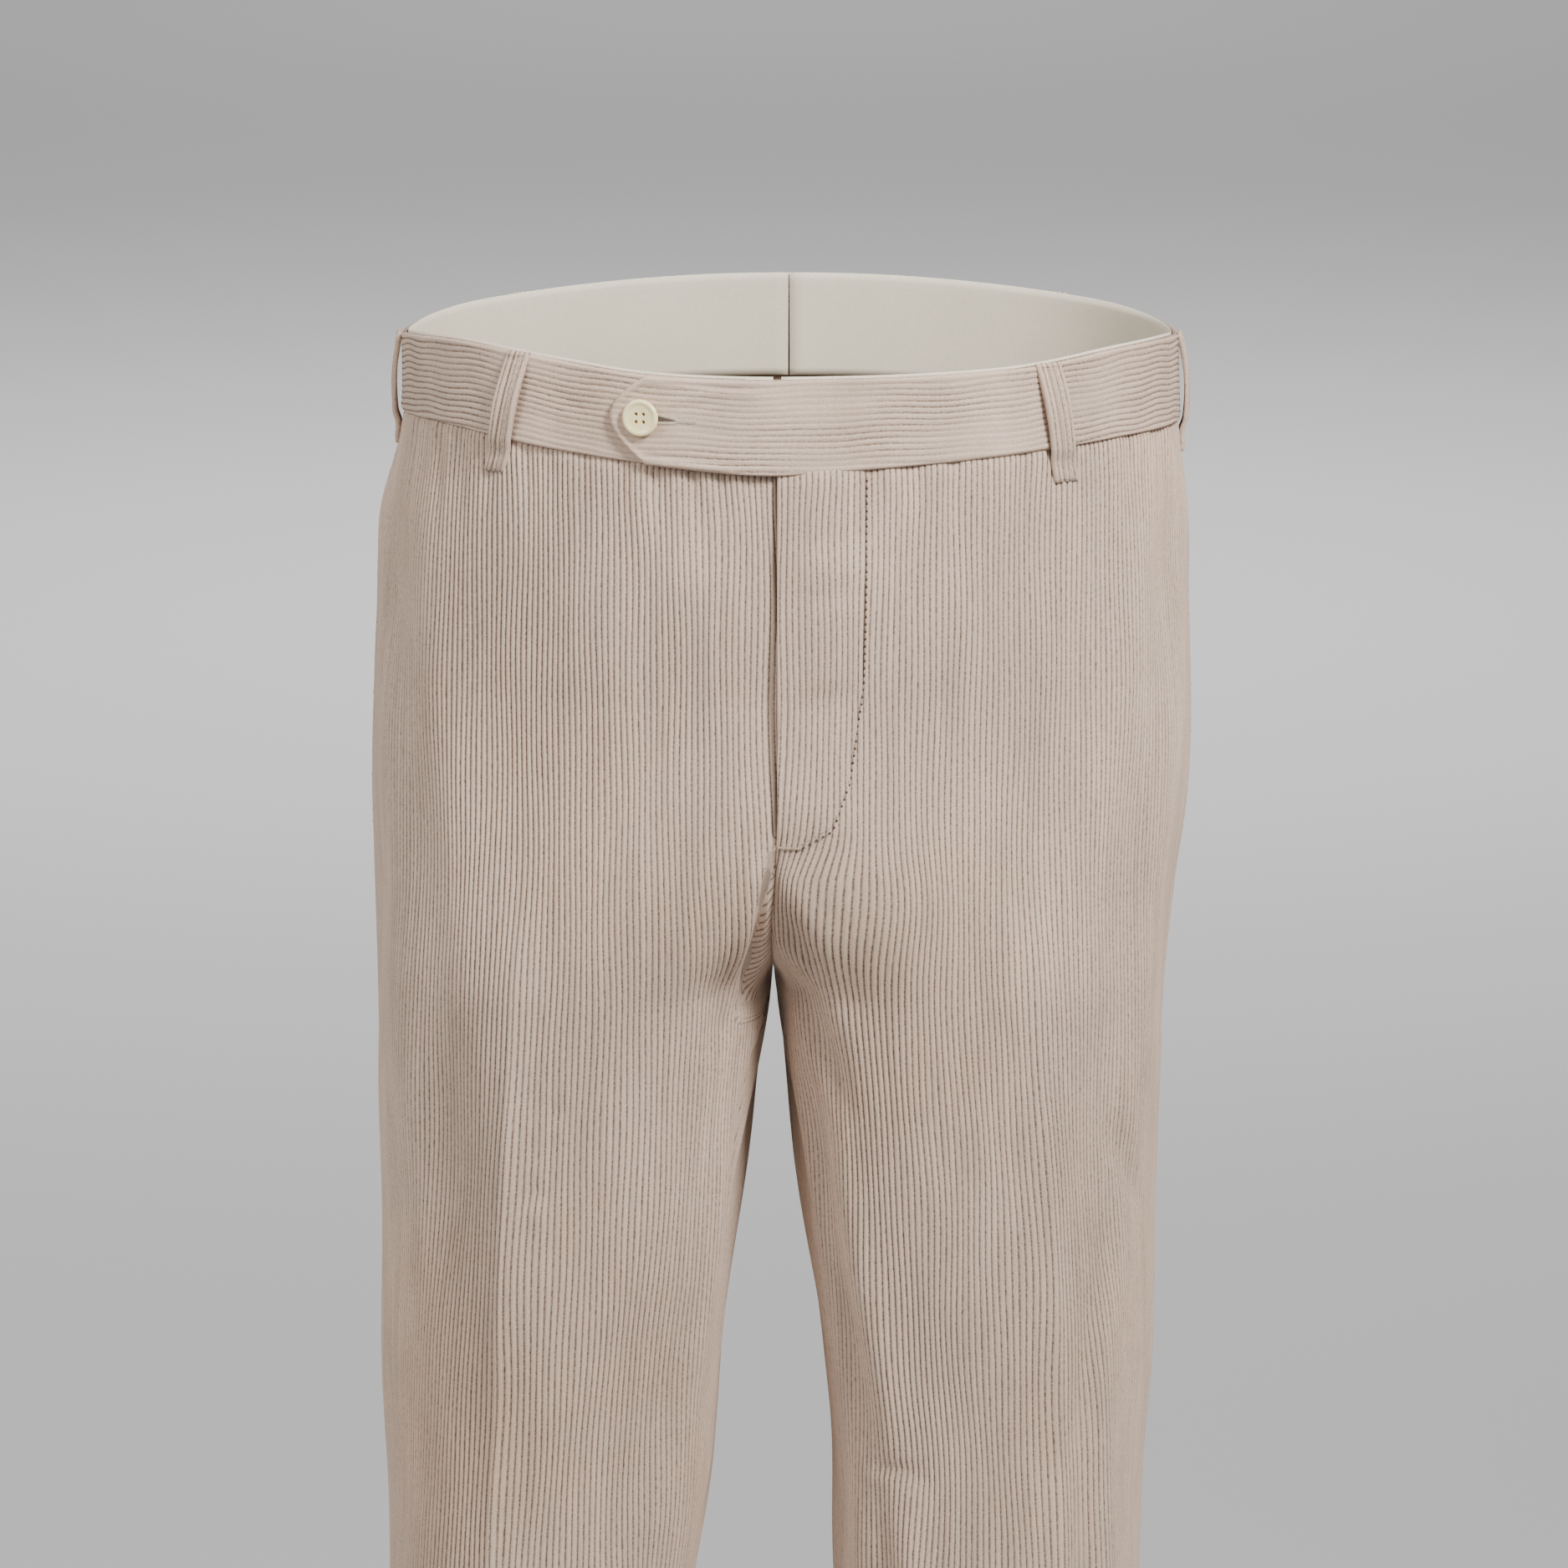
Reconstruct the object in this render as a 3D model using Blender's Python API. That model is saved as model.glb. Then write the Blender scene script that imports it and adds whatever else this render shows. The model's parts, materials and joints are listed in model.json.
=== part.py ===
"""Corduroy trousers, filled out as they are worn, with no wearer.

Metres, +Z up. The front faces -Y and the wearer's left is +X. The origin is the middle of the waist
opening. Every panel is a wall that follows horizontal sections of the garment: above the crotch one
ring of two fronts and two backs, below it one ring for each leg.
"""

import math

import bmesh
import bpy
import numpy as np

# Cloth
WALL = 0.0015  # corduroy
GAP = 0.0003  # between pieces at a seam

# Length
CROTCH_Z = -0.270
HEM_Z = -1.070
LEGS_PART_FROM = -0.140  # the centre seams start to turn under
FORK_POWER = 1.5  # and reach the crotch on a curve
INSEAM_TURNS_OVER = 0.034  # below the crotch

# Sections. Side seams, centre seams and inseams of both legs, as x at each height.
OUTLINE_COLUMNS = "z right_side right_inner left_inner left_side".split()
OUTLINE = (
    (0.020, -0.1650, -0.0050, -0.0050, 0.1650),
    (-0.040, -0.1665, -0.0050, -0.0050, 0.1672),
    (-0.072, -0.1745, -0.0050, -0.0050, 0.1705),
    (-0.120, -0.1778, -0.0050, -0.0050, 0.1726),
    (-0.168, -0.1796, -0.0050, -0.0050, 0.1734),
    (-0.205, -0.1798, -0.0055, -0.0055, 0.1712),
    (-0.237, -0.1790, -0.0075, -0.0075, 0.1670),
    (-0.270, -0.1782, -0.0070, -0.0064, 0.1632),
    (-0.329, -0.1772, -0.0165, 0.0020, 0.1598),
    (-0.383, -0.1762, -0.0232, 0.0080, 0.1588),
    (-0.435, -0.1752, -0.0285, 0.0145, 0.1570),
    (-0.486, -0.1745, -0.0340, 0.0208, 0.1545),
    (-0.543, -0.1745, -0.0425, 0.0210, 0.1526),
    (-0.620, -0.1740, -0.0475, 0.0225, 0.1500),
    (-0.850, -0.1710, -0.0580, 0.0320, 0.1450),
    (-1.070, -0.1670, -0.0620, 0.0360, 0.1410),
)
# The front, the back, the side seams and the inner ends of each section, as y at each height.
DEPTH_COLUMNS = "z front back side inner".split()
DEPTH = (
    (0.020, -0.1190, 0.1210, 0.006, -0.020),
    (-0.040, -0.1222, 0.1290, 0.008, -0.020),
    (-0.090, -0.1245, 0.1400, 0.010, -0.020),
    (-0.150, -0.1250, 0.1500, 0.012, -0.020),
    (-0.205, -0.1225, 0.1505, 0.012, -0.020),
    (-0.270, -0.1150, 0.1370, 0.008, -0.020),
    (-0.340, -0.1090, 0.1120, 0.004, -0.026),
    (-0.440, -0.1000, 0.0900, 0.000, -0.024),
    (-0.540, -0.0910, 0.0760, -0.004, -0.016),
    (-0.620, -0.0850, 0.0700, -0.006, -0.008),
    (-0.850, -0.0770, 0.0740, -0.001, -0.001),
    (-1.070, -0.0700, 0.0720, 0.001, 0.001),
)
# Where the front crease lies on each leg, as x, and how far the inseam is turned to the front.
TURN_COLUMNS = "z right_crease left_crease right_inseam left_inseam".split()
TURN = (
    (0.020, -0.1120, 0.1040, 22.0, 14.0),
    (-0.270, -0.1147, 0.1045, 22.0, 14.0),
    (-0.303, -0.1157, 0.1052, 22.0, 14.0),
    (-0.357, -0.1179, 0.1080, 22.0, 18.0),
    (-0.425, -0.1209, 0.1110, 12.0, 18.0),
    (-0.517, -0.1256, 0.1146, 10.0, 14.0),
    (-0.620, -0.1260, 0.1110, 8.0, 10.0),
    (-1.070, -0.1255, 0.1010, 4.0, 4.0),
)
CREASE_HEIGHT = 0.0030  # pressed creases stand out below the hips
CREASE_REACH = 0.012
CREASE_FADES = (-0.200, -0.330)
SQUARENESS = 0.022  # of the sections, 0 is an ellipse
SEAT_SEAM_CENTRES = 0.060  # height above the crotch over which the seat seam comes to the middle

# Waistband edges round the waist: 0 degrees is the centre front and 180 the centre back.
WAIST_COLUMNS = "degrees right_top left_top right_seam left_seam".split()
WAIST = (
    (0.0, -0.0010, -0.0010, -0.0408, -0.0408),
    (20.0, 0.0004, -0.0008, -0.0368, -0.0378),
    (32.0, 0.0042, 0.0002, -0.0338, -0.0358),
    (54.0, 0.0085, 0.0048, -0.0284, -0.0330),
    (72.0, 0.0062, 0.0046, -0.0288, -0.0338),
    (90.0, 0.0024, 0.0018, -0.0312, -0.0348),
    (130.0, 0.0050, 0.0050, -0.0320, -0.0335),
    (180.0, 0.0120, 0.0120, -0.0280, -0.0280),
)
PANEL_TOP = -0.040  # level of the panels' top row before it follows the waist seam
SEAM_EASES_FROM = -0.110
WAIST_HALF_WIDTH = 0.165
WAIST_RADIUS = 0.150  # on average
BAND_PROUD = 0.0010  # the band stands out from the panels below it
BAND_WALL = 0.0026
FACING_WALL = 0.0010
FACING_PROUD = 0.0005  # the facing's edge shows above the band
FACING_BELOW = 0.005  # and it ends inside the panels
FACING_LEAN = 0.0014  # its lower edge stands in from them
FACING_FROM = 0.6  # degrees from the centre front

# Extension tab: the left band laps over the right one
TAB_TIP_X = -0.0736
TAB_POINT = 0.0155  # length of its rounded point
TAB_POWER = 1.8
TAB_LIFT = BAND_WALL + GAP
TAB_RISES = (0.016, -0.010)  # x where the lap starts and where it is at its full lift
TAB_ROOT = 7.0  # degrees from the centre front, past the lap
RIGHT_BAND_END_X = -0.018

# Fly: the left front's edge is three layers thick
FLY_EDGE_LIFT = 0.0014
FLY_WIDTH = 0.038
FLY_FADE = 0.018
FLY_BOTTOM = -0.198
FLY_ENDS_OVER = 0.012

# Belt loops
LOOP_WIDTH = 0.0118
LOOP_WALL = 0.0016
LOOP_STANDS_OFF = 0.0026  # clear height for the belt, between loop and band
LOOP_BELOW = 0.0145  # below the waist seam
LOOP_TOP_INSET = 0.0008  # below the band's top edge
LOOP_BOW_STRETCH = 1.15  # the bow ends before the loop does, flat at the top and flat below the seam
LOOP_BOW_START = 0.06
LOOP_BOW_POWER = 0.8
# Each loop's name and side, and how far round it lies at its top and at its bottom, in degrees.
LOOPS = (
    ("loop_front_right", "right", 39.6, 44.4),
    ("loop_front_left", "left", 38.8, 41.9),
    ("loop_side_right", "right", 88.0, 90.0),
    ("loop_side_left", "left", 88.0, 90.0),
    ("loop_back_right", "right", 138.0, 138.0),
    ("loop_back_left", "left", 138.0, 138.0),
    ("loop_back_centre", "left", 180.0, 180.0),
)

# Button
BUTTON_X = -0.0600
BUTTON_Z = -0.0174
BUTTON_RADIUS = 0.0078
BUTTON_THICK = 0.0028
BUTTON_ROUNDING = 0.0012
BUTTON_DISH_RADIUS = 0.0056
BUTTON_DISH = 0.0006
BUTTON_HOLE_RADIUS = 0.0009
BUTTON_HOLE_FROM_CENTRE = 0.0021
BUTTON_CLEAR = 0.0006

# Facets
DENSE = 241  # points that measure a section
PANEL_COLUMNS = (8, 7)  # inner edge to crease, crease to side seam
LEG_ROWS = 13
FORK_ROWS = 7
HIP_ROWS = 6
BAND_COLUMNS = 24
TAB_COLUMNS = 10
TAB_POINT_COLUMNS = 4  # of them bend round the tab's point
BAND_ROWS = 3
LOOP_ROWS = 8

BACK_SEAM = 180 - math.degrees(GAP / WAIST_HALF_WIDTH)  # where the pieces of the waist end

CORDUROY = (0.53, 0.45, 0.39)
CREAM = (0.74, 0.69, 0.58)
HORN = (0.80, 0.71, 0.56)


def smooth_column(table, columns, name, at, level_ends=False):
    """A smooth curve through one named column of a table, read at heights or angles."""
    rows = np.array(sorted(table))
    place = rows[:, 0]
    value = rows[:, columns.index(name)]
    slope = np.gradient(value, place)
    if level_ends:
        slope[[0, -1]] = 0
    at = np.clip(at, place[0], place[-1])
    k = np.clip(np.searchsorted(place, at) - 1, 0, len(place) - 2)
    step = place[k + 1] - place[k]
    t = (at - place[k]) / step
    start = (1 + 2 * t) * (1 - t) ** 2 * value[k] + t * (1 - t) ** 2 * step * slope[k]
    end = t * t * (3 - 2 * t) * value[k + 1] + t * t * (t - 1) * step * slope[k + 1]
    return start + end


def outline(name, z):
    return smooth_column(OUTLINE, OUTLINE_COLUMNS, name, z)


def depth(name, z):
    return smooth_column(DEPTH, DEPTH_COLUMNS, name, z)


def turn(name, z):
    return smooth_column(TURN, TURN_COLUMNS, name, z)


def waist_edge(name, degrees):
    return smooth_column(WAIST, WAIST_COLUMNS, name, degrees, level_ends=True)


def ease(t):
    """0 to 1 with level ends."""
    t = np.clip(t, 0, 1)
    return t * t * (3 - 2 * t)


def inner_x(side, face, z):
    """The centre seam above the crotch and the inside of the leg below it."""
    x = outline(side + "_inner", z)
    if face == "back":
        x = x * (1 - ease((z - CROTCH_Z) / SEAT_SEAM_CENTRES))
    return x + (GAP / 2 if side == "left" else -GAP / 2)


def fork_angle(z):
    """Where the centre seam cuts the leg's oval: 90 degrees for one ring of the body, 0 for a leg."""
    parted = np.clip((LEGS_PART_FROM - z) / (LEGS_PART_FROM - CROTCH_Z), 0, 1)
    return np.degrees(np.arccos(parted**FORK_POWER))


def across_oval(angle):
    """Share of an oval's width, from its inner end at 0 degrees to its outer end at 180."""
    rounded = np.cos(angle) - SQUARENESS * np.cos(3 * angle)
    return (1 - rounded / (1 - SQUARENESS)) / 2


def depth_of_oval(angle):
    return (np.sin(angle) + SQUARENESS * np.sin(3 * angle)) / (1 - SQUARENESS)


def section_points(side, face, z):
    """Points of one panel's outer face at heights z, from its inner edge to the side seam."""
    front = face == "front"
    z = z[:, None] + np.zeros(DENSE)
    turned = turn(side + "_inseam", z) * ease((CROTCH_Z - z) / INSEAM_TURNS_OVER)
    cut = fork_angle(z)
    first = cut + (turned if front else -turned)
    degrees = first + (180 - first) * np.linspace(0, 1, DENSE)
    angle = np.radians(degrees)
    # the top rows follow the waist seam
    round_waist = degrees - 90 if front else 270 - degrees
    lift = waist_edge(side + "_seam", round_waist) - GAP - PANEL_TOP
    z = z + lift * ease((z - SEAM_EASES_FROM) / (PANEL_TOP - SEAM_EASES_FROM))
    # the oval runs on past the centre seam, which cuts it
    cut_share = across_oval(np.radians(cut))
    inside = inner_x(side, face, z)
    share = (across_oval(angle) - cut_share) / (1 - cut_share)
    x = inside + (outline(side + "_side", z) - inside) * share
    side_y = depth("side", z)
    inner_y = depth("inner", z)
    middle = inner_y + (side_y - inner_y) * (1 - np.cos(angle)) / 2
    bow = depth_of_oval(angle)
    ahead = bow >= 0 if front else bow < 0
    reach = np.where(ahead, depth("front", z), depth("back", z)) - (inner_y + side_y) / 2
    return np.stack([x, middle + reach * np.abs(bow), z], axis=-1)


def crease_x(side, face, z):
    """The front crease, and the back crease opposite it."""
    x = turn(side + "_crease", z)
    if face == "front":
        return x
    return inner_x(side, face, z) + outline(side + "_side", z) - x


def panel_rows():
    """Heights of the rows, from the hem up, closer together where the crotch curve is steep."""
    leg = np.linspace(HEM_Z, CROTCH_Z - 0.004, LEG_ROWS + 1)
    quarter = np.cos(np.linspace(0, math.pi / 2, FORK_ROWS + 1))
    forked = LEGS_PART_FROM + (CROTCH_Z - LEGS_PART_FROM) * quarter ** (1 / FORK_POWER)
    hip = np.linspace(LEGS_PART_FROM, PANEL_TOP, HIP_ROWS + 1)[1:]
    return np.concatenate([leg, forked, hip])


def panel_grid(side, face):
    """Rows and columns of a panel's outer face, one column along the crease, and its normals."""
    heights = panel_rows()
    points = section_points(side, face, heights)
    normals = outward(points)
    steps = np.linalg.norm(np.diff(points, axis=1), axis=2)
    run = np.concatenate([np.zeros((len(heights), 1)), np.cumsum(steps, axis=1)], axis=1)
    grid = []
    for row, z in enumerate(heights):
        # the crease is read in the stretch where the section runs away from the inner edge
        x = points[row, :, 0] * (1 if side == "left" else -1)
        start = int(np.argmin(x))
        to_crease = float(abs(crease_x(side, face, np.array(z))))
        at_crease = np.interp(to_crease, x[start:], run[row, start:])
        inner = np.linspace(GAP / 2, at_crease, PANEL_COLUMNS[0] + 1)
        outer = np.linspace(at_crease, run[row, -1] - GAP / 2, PANEL_COLUMNS[1] + 1)[1:]
        stops = np.concatenate([inner, outer])
        both = np.concatenate([points[row], normals[row]], axis=1)
        grid.append([np.interp(stops, run[row], both[:, axis]) for axis in range(6)])
    grid = np.array(grid).transpose(0, 2, 1)
    return grid[..., :3], grid[..., 3:]


def outward(grid):
    """Unit normals of a grid of points, on the side away from the body or the leg."""
    along = np.gradient(grid, axis=1)
    up = np.gradient(grid, axis=0)
    normal = np.cross(along, up)
    normal /= np.linalg.norm(normal, axis=2, keepdims=True)
    middle = grid.mean(axis=1, keepdims=True)
    faces_out = np.sum(normal * (grid - middle), axis=(1, 2)).mean() > 0
    return normal if faces_out else -normal


def material(name, colour, roughness):
    made = bpy.data.materials.new(name)
    made.use_nodes = True
    shader = made.node_tree.nodes["Principled BSDF"]
    shader.inputs["Base Color"].default_value = (*colour, 1)
    shader.inputs["Roughness"].default_value = roughness
    shader.inputs["Metallic"].default_value = 0
    return made


def wall(name, outer, inner, finish):
    """A closed wall between two grids of points."""
    rows, columns = outer.shape[:2]
    mesh = bmesh.new()
    sheets = [[[mesh.verts.new(p) for p in line] for line in sheet] for sheet in (outer, inner)]
    front, back = sheets
    for r in range(rows - 1):
        for c in range(columns - 1):
            for sheet in sheets:
                corners = (sheet[r][c], sheet[r][c + 1], sheet[r + 1][c + 1], sheet[r + 1][c])
                mesh.faces.new(corners)
    rim = [(0, c) for c in range(columns)]
    rim += [(r, columns - 1) for r in range(1, rows)]
    rim += [(rows - 1, c) for c in range(columns - 2, -1, -1)]
    rim += [(r, 0) for r in range(rows - 2, 0, -1)]
    for (r, c), (r2, c2) in zip(rim, rim[1:] + rim[:1]):
        mesh.faces.new((front[r][c], front[r2][c2], back[r2][c2], back[r][c]))
    bmesh.ops.recalc_face_normals(mesh, faces=mesh.faces)
    data = bpy.data.meshes.new(name)
    mesh.to_mesh(data)
    mesh.free()
    data.materials.append(finish)
    data.shade_smooth()
    data.set_sharp_from_angle(angle=math.radians(40))
    made = bpy.data.objects.new(name, data)
    bpy.context.collection.objects.link(made)
    return made


def make_panel(side, face, finish):
    """A front or a back, with its pressed crease, and the lapped edge of the fly on the left."""
    grid, normal = panel_grid(side, face)
    crease = grid[:, PANEL_COLUMNS[0]][:, None]
    away = np.linalg.norm(grid - crease, axis=2)
    fade = ease((CREASE_FADES[0] - grid[..., 2]) / (CREASE_FADES[0] - CREASE_FADES[1]))
    stand = CREASE_HEIGHT * fade * np.exp(-away / CREASE_REACH)
    lap = np.zeros_like(stand)
    if (side, face) == ("left", "front"):
        from_edge = grid[..., 0] - inner_x(side, face, grid[..., 2])
        across = ease((FLY_WIDTH - from_edge) / FLY_FADE)
        along = ease((grid[..., 2] - FLY_BOTTOM) / FLY_ENDS_OVER)
        lap = FLY_EDGE_LIFT * across * along
    outer = grid + normal * (stand + lap)[..., None]
    inner = grid + normal * (stand - WALL)[..., None]
    return wall(f"{face}_{side}", outer, inner, finish)


def waist_point(side, degrees, z, out):
    """Points on the ring of the waist, moved out level. 0 degrees is the centre front."""
    front = degrees <= 90
    angle = np.radians(np.where(front, 90 + degrees, 270 - degrees))
    start = np.where(front, inner_x(side, "front", z), inner_x(side, "back", z))
    width = outline(side + "_side", z) - start
    side_y = depth("side", z)
    inner_y = depth("inner", z)
    reach = np.where(front, depth("front", z), depth("back", z)) - (inner_y + side_y) / 2
    x = start + width * (2 * across_oval(angle) - 1)
    y = inner_y + (side_y - inner_y) * (1 - np.cos(angle)) / 2 + reach * depth_of_oval(angle)
    # level normal of the ring
    along_x = width * np.sin(angle)
    along_y = reach * np.cos(angle) + (side_y - inner_y) * np.sin(angle) / 2
    length = np.hypot(along_x, along_y)
    outside = -np.sign(width) * np.sign(reach)
    x = x + out * outside * along_y / length
    y = y - out * outside * along_x / length
    return np.stack([x, y, z + 0 * x], axis=-1)


def degrees_at(side, x):
    """The angle round the front of the waist at which the ring reaches x."""
    degrees = np.linspace(0, 90, DENSE)
    z = np.full(DENSE, PANEL_TOP / 2)
    places = waist_point(side, degrees, z, 0)[:, 0]
    return float(np.interp(abs(x), np.abs(places), degrees))


def ring_grid(degrees, low, high, out):
    """A grid round the waist, with a row of degrees for each level, negative on the right."""
    share = np.linspace(0, 1, BAND_ROWS + 1)[:, None]
    turned = np.abs(degrees)
    sides = []
    for side in ("right", "left"):
        bottom = waist_edge(side + "_seam", turned) + low
        top = waist_edge(side + "_top", turned) + high
        sides.append(waist_point(side, turned, bottom + (top - bottom) * share, out))
    return np.where((degrees < 0)[..., None], sides[0], sides[1])


def tab_lift(degrees):
    """How far the left band is lifted where it laps over the right one."""
    turned = np.abs(degrees)
    level = np.full(degrees.shape, PANEL_TOP / 2)
    right, left = (waist_point(side, turned, level, 0)[..., 0] for side in ("right", "left"))
    x = np.where(degrees < 0, right, left)
    lapping = ease((TAB_RISES[0] - x) / (TAB_RISES[0] - TAB_RISES[1]))
    return TAB_LIFT * np.where(turned < 90, lapping, 0)


def make_band_left(finish):
    """The left band, with the extension tab that crosses the centre front."""
    tip = -degrees_at("right", TAB_TIP_X)
    shoulder = -degrees_at("right", TAB_TIP_X + TAB_POINT)
    share = np.linspace(0, 1, BAND_ROWS + 1)[:, None]
    start = tip + (shoulder - tip) * abs(2 * share - 1) ** TAB_POWER
    lapped = np.linspace(tip, TAB_ROOT, TAB_COLUMNS + 1)
    even = np.append(lapped[:-1], np.linspace(TAB_ROOT, BACK_SEAM, BAND_COLUMNS - 3))
    near_tip = np.clip((even[TAB_POINT_COLUMNS] - even) / (even[TAB_POINT_COLUMNS] - even[0]), 0, 1)
    degrees = even + (start - tip) * near_tip
    lift = BAND_PROUD + tab_lift(degrees)
    outer = ring_grid(degrees, 0, 0, lift)
    inner = ring_grid(degrees, 0, 0, lift - BAND_WALL)
    return wall("waistband_left", outer, inner, finish)


def make_band_right(finish):
    last = -degrees_at("right", RIGHT_BAND_END_X)
    row = np.linspace(-BACK_SEAM, last, BAND_COLUMNS + 1)
    degrees = np.broadcast_to(row, (BAND_ROWS + 1, len(row)))
    outer = ring_grid(degrees, 0, 0, BAND_PROUD)
    inner = ring_grid(degrees, 0, 0, BAND_PROUD - BAND_WALL)
    return wall("waistband_right", outer, inner, finish)


def make_facing(side, finish):
    """Cotton facing behind the band, from near the centre front to the centre back."""
    sign = 1 if side == "left" else -1
    even = np.linspace(TAB_ROOT, BACK_SEAM, BAND_COLUMNS - 3)
    row = sign * np.append(FACING_FROM, even)
    degrees = np.broadcast_to(row, (BAND_ROWS + 1, len(row)))
    share = np.linspace(0, 1, BAND_ROWS + 1)[:, None]
    out = BAND_PROUD - BAND_WALL - GAP - FACING_LEAN * (1 - share)
    outer = ring_grid(degrees, -FACING_BELOW, FACING_PROUD, out)
    inner = ring_grid(degrees, -FACING_BELOW, FACING_PROUD, out - FACING_WALL)
    return wall(f"facing_{side}", outer, inner, finish)


def loop_point(side, degrees, z, out):
    """A place on the ring of the waist, past the centre back if need be."""
    if degrees > 180:
        return waist_point("right", np.array([360 - degrees]), np.array([z]), out)[0]
    return waist_point(side, np.array([degrees]), np.array([z]), out)[0]


def make_loop(name, side, top_degrees, bottom_degrees, finish):
    """A belt loop: flat on the band's top edge, bowed over the band, flat below the seam."""
    share = np.linspace(0, 1, LOOP_ROWS + 1)
    degrees = top_degrees + (bottom_degrees - top_degrees) * share
    top = float(waist_edge(side + "_top", top_degrees)) - LOOP_TOP_INSET
    bottom = float(waist_edge(side + "_seam", bottom_degrees)) - LOOP_BELOW
    heights = top + (bottom - top) * share
    bowed = np.clip(share * LOOP_BOW_STRETCH - LOOP_BOW_START, 0, 1)
    bow = LOOP_STANDS_OFF * np.sin(np.pi * bowed) ** LOOP_BOW_POWER
    half_turn = math.degrees(LOOP_WIDTH / 2 / WAIST_RADIUS)
    sheets = []
    for out in (BAND_PROUD + GAP + LOOP_WALL, BAND_PROUD + GAP):
        rows = [
            [loop_point(side, middle + across * half_turn, z, out + away) for across in (-1, 0, 1)]
            for middle, z, away in zip(degrees, heights, bow)
        ]
        sheets.append(np.array(rows))
    return wall(name, sheets[0], sheets[1], finish)


def make_button(finish):
    """A turned button with a dished face and four holes, on the tab."""
    turned = degrees_at("right", BUTTON_X)
    z = np.array([BUTTON_Z])
    out = BAND_PROUD + TAB_LIFT + BUTTON_CLEAR
    seat = waist_point("right", np.array([turned]), z, out)[0]
    ahead = waist_point("right", np.array([turned]), z, out + BUTTON_THICK)[0] - seat
    profile = (
        (0, 0),
        (BUTTON_RADIUS - BUTTON_ROUNDING, 0),
        (BUTTON_RADIUS - BUTTON_ROUNDING / 6, BUTTON_ROUNDING / 2),
        (BUTTON_RADIUS, BUTTON_THICK / 2),
        (BUTTON_RADIUS - BUTTON_ROUNDING / 2, BUTTON_THICK - BUTTON_ROUNDING / 6),
        (BUTTON_RADIUS - BUTTON_ROUNDING, BUTTON_THICK),
        (BUTTON_DISH_RADIUS, BUTTON_THICK - BUTTON_DISH),
        (0, BUTTON_THICK - BUTTON_DISH),
    )
    mesh = bmesh.new()
    line = [mesh.verts.new((radius, 0, height)) for radius, height in profile]
    edges = [mesh.edges.new(pair) for pair in zip(line, line[1:])]
    bmesh.ops.spin(
        mesh, geom=line + edges, cent=(0, 0, 0), axis=(0, 0, 1), angle=2 * math.pi, steps=24
    )
    bmesh.ops.remove_doubles(mesh, verts=mesh.verts, dist=0.00001)
    bmesh.ops.recalc_face_normals(mesh, faces=mesh.faces)
    data = bpy.data.meshes.new("button")
    mesh.to_mesh(data)
    mesh.free()
    data.materials.append(finish)
    made = bpy.data.objects.new("button", data)
    bpy.context.collection.objects.link(made)
    facing = math.atan2(ahead[1], ahead[0])
    made.location = seat
    made.rotation_euler = (0, math.pi / 2, facing)
    for corner in range(4):
        angle = math.pi / 4 + corner * math.pi / 2
        drill = bpy.data.meshes.new("drill")
        cut = bmesh.new()
        bmesh.ops.create_cone(
            cut,
            cap_ends=True,
            segments=10,
            radius1=BUTTON_HOLE_RADIUS,
            radius2=BUTTON_HOLE_RADIUS,
            depth=BUTTON_THICK * 3,
        )
        cut.to_mesh(drill)
        cut.free()
        cutter = bpy.data.objects.new(f"drill_{corner}", drill)
        bpy.context.collection.objects.link(cutter)
        cutter.parent = made
        cutter.location = (
            BUTTON_HOLE_FROM_CENTRE * math.cos(angle),
            BUTTON_HOLE_FROM_CENTRE * math.sin(angle),
            BUTTON_THICK / 2,
        )
        cutter.hide_render = True
        cutter.display_type = "WIRE"
        hole = made.modifiers.new(f"hole_{corner}", "BOOLEAN")
        hole.operation = "DIFFERENCE"
        hole.object = cutter
    return made


def build():
    for existing in list(bpy.data.objects):
        bpy.data.objects.remove(existing)
    corduroy = material("corduroy", CORDUROY, 0.95)
    cream = material("cream_cotton", CREAM, 0.9)
    horn = material("horn", HORN, 0.35)
    for side in ("left", "right"):
        for face in ("front", "back"):
            make_panel(side, face, corduroy)
    make_band_left(corduroy)
    make_band_right(corduroy)
    for side in ("left", "right"):
        make_facing(side, cream)
    for name, side, top_degrees, bottom_degrees in LOOPS:
        make_loop(name, side, top_degrees, bottom_degrees, corduroy)
    make_button(horn)


build()
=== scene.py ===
"""Corduroy trousers in worn, hollow form, dressed over their frame of plain panels.

Metres, +Z up. The front faces -Y and the wearer's left is +X. The waist opening is at the origin.
"""

import math

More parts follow.
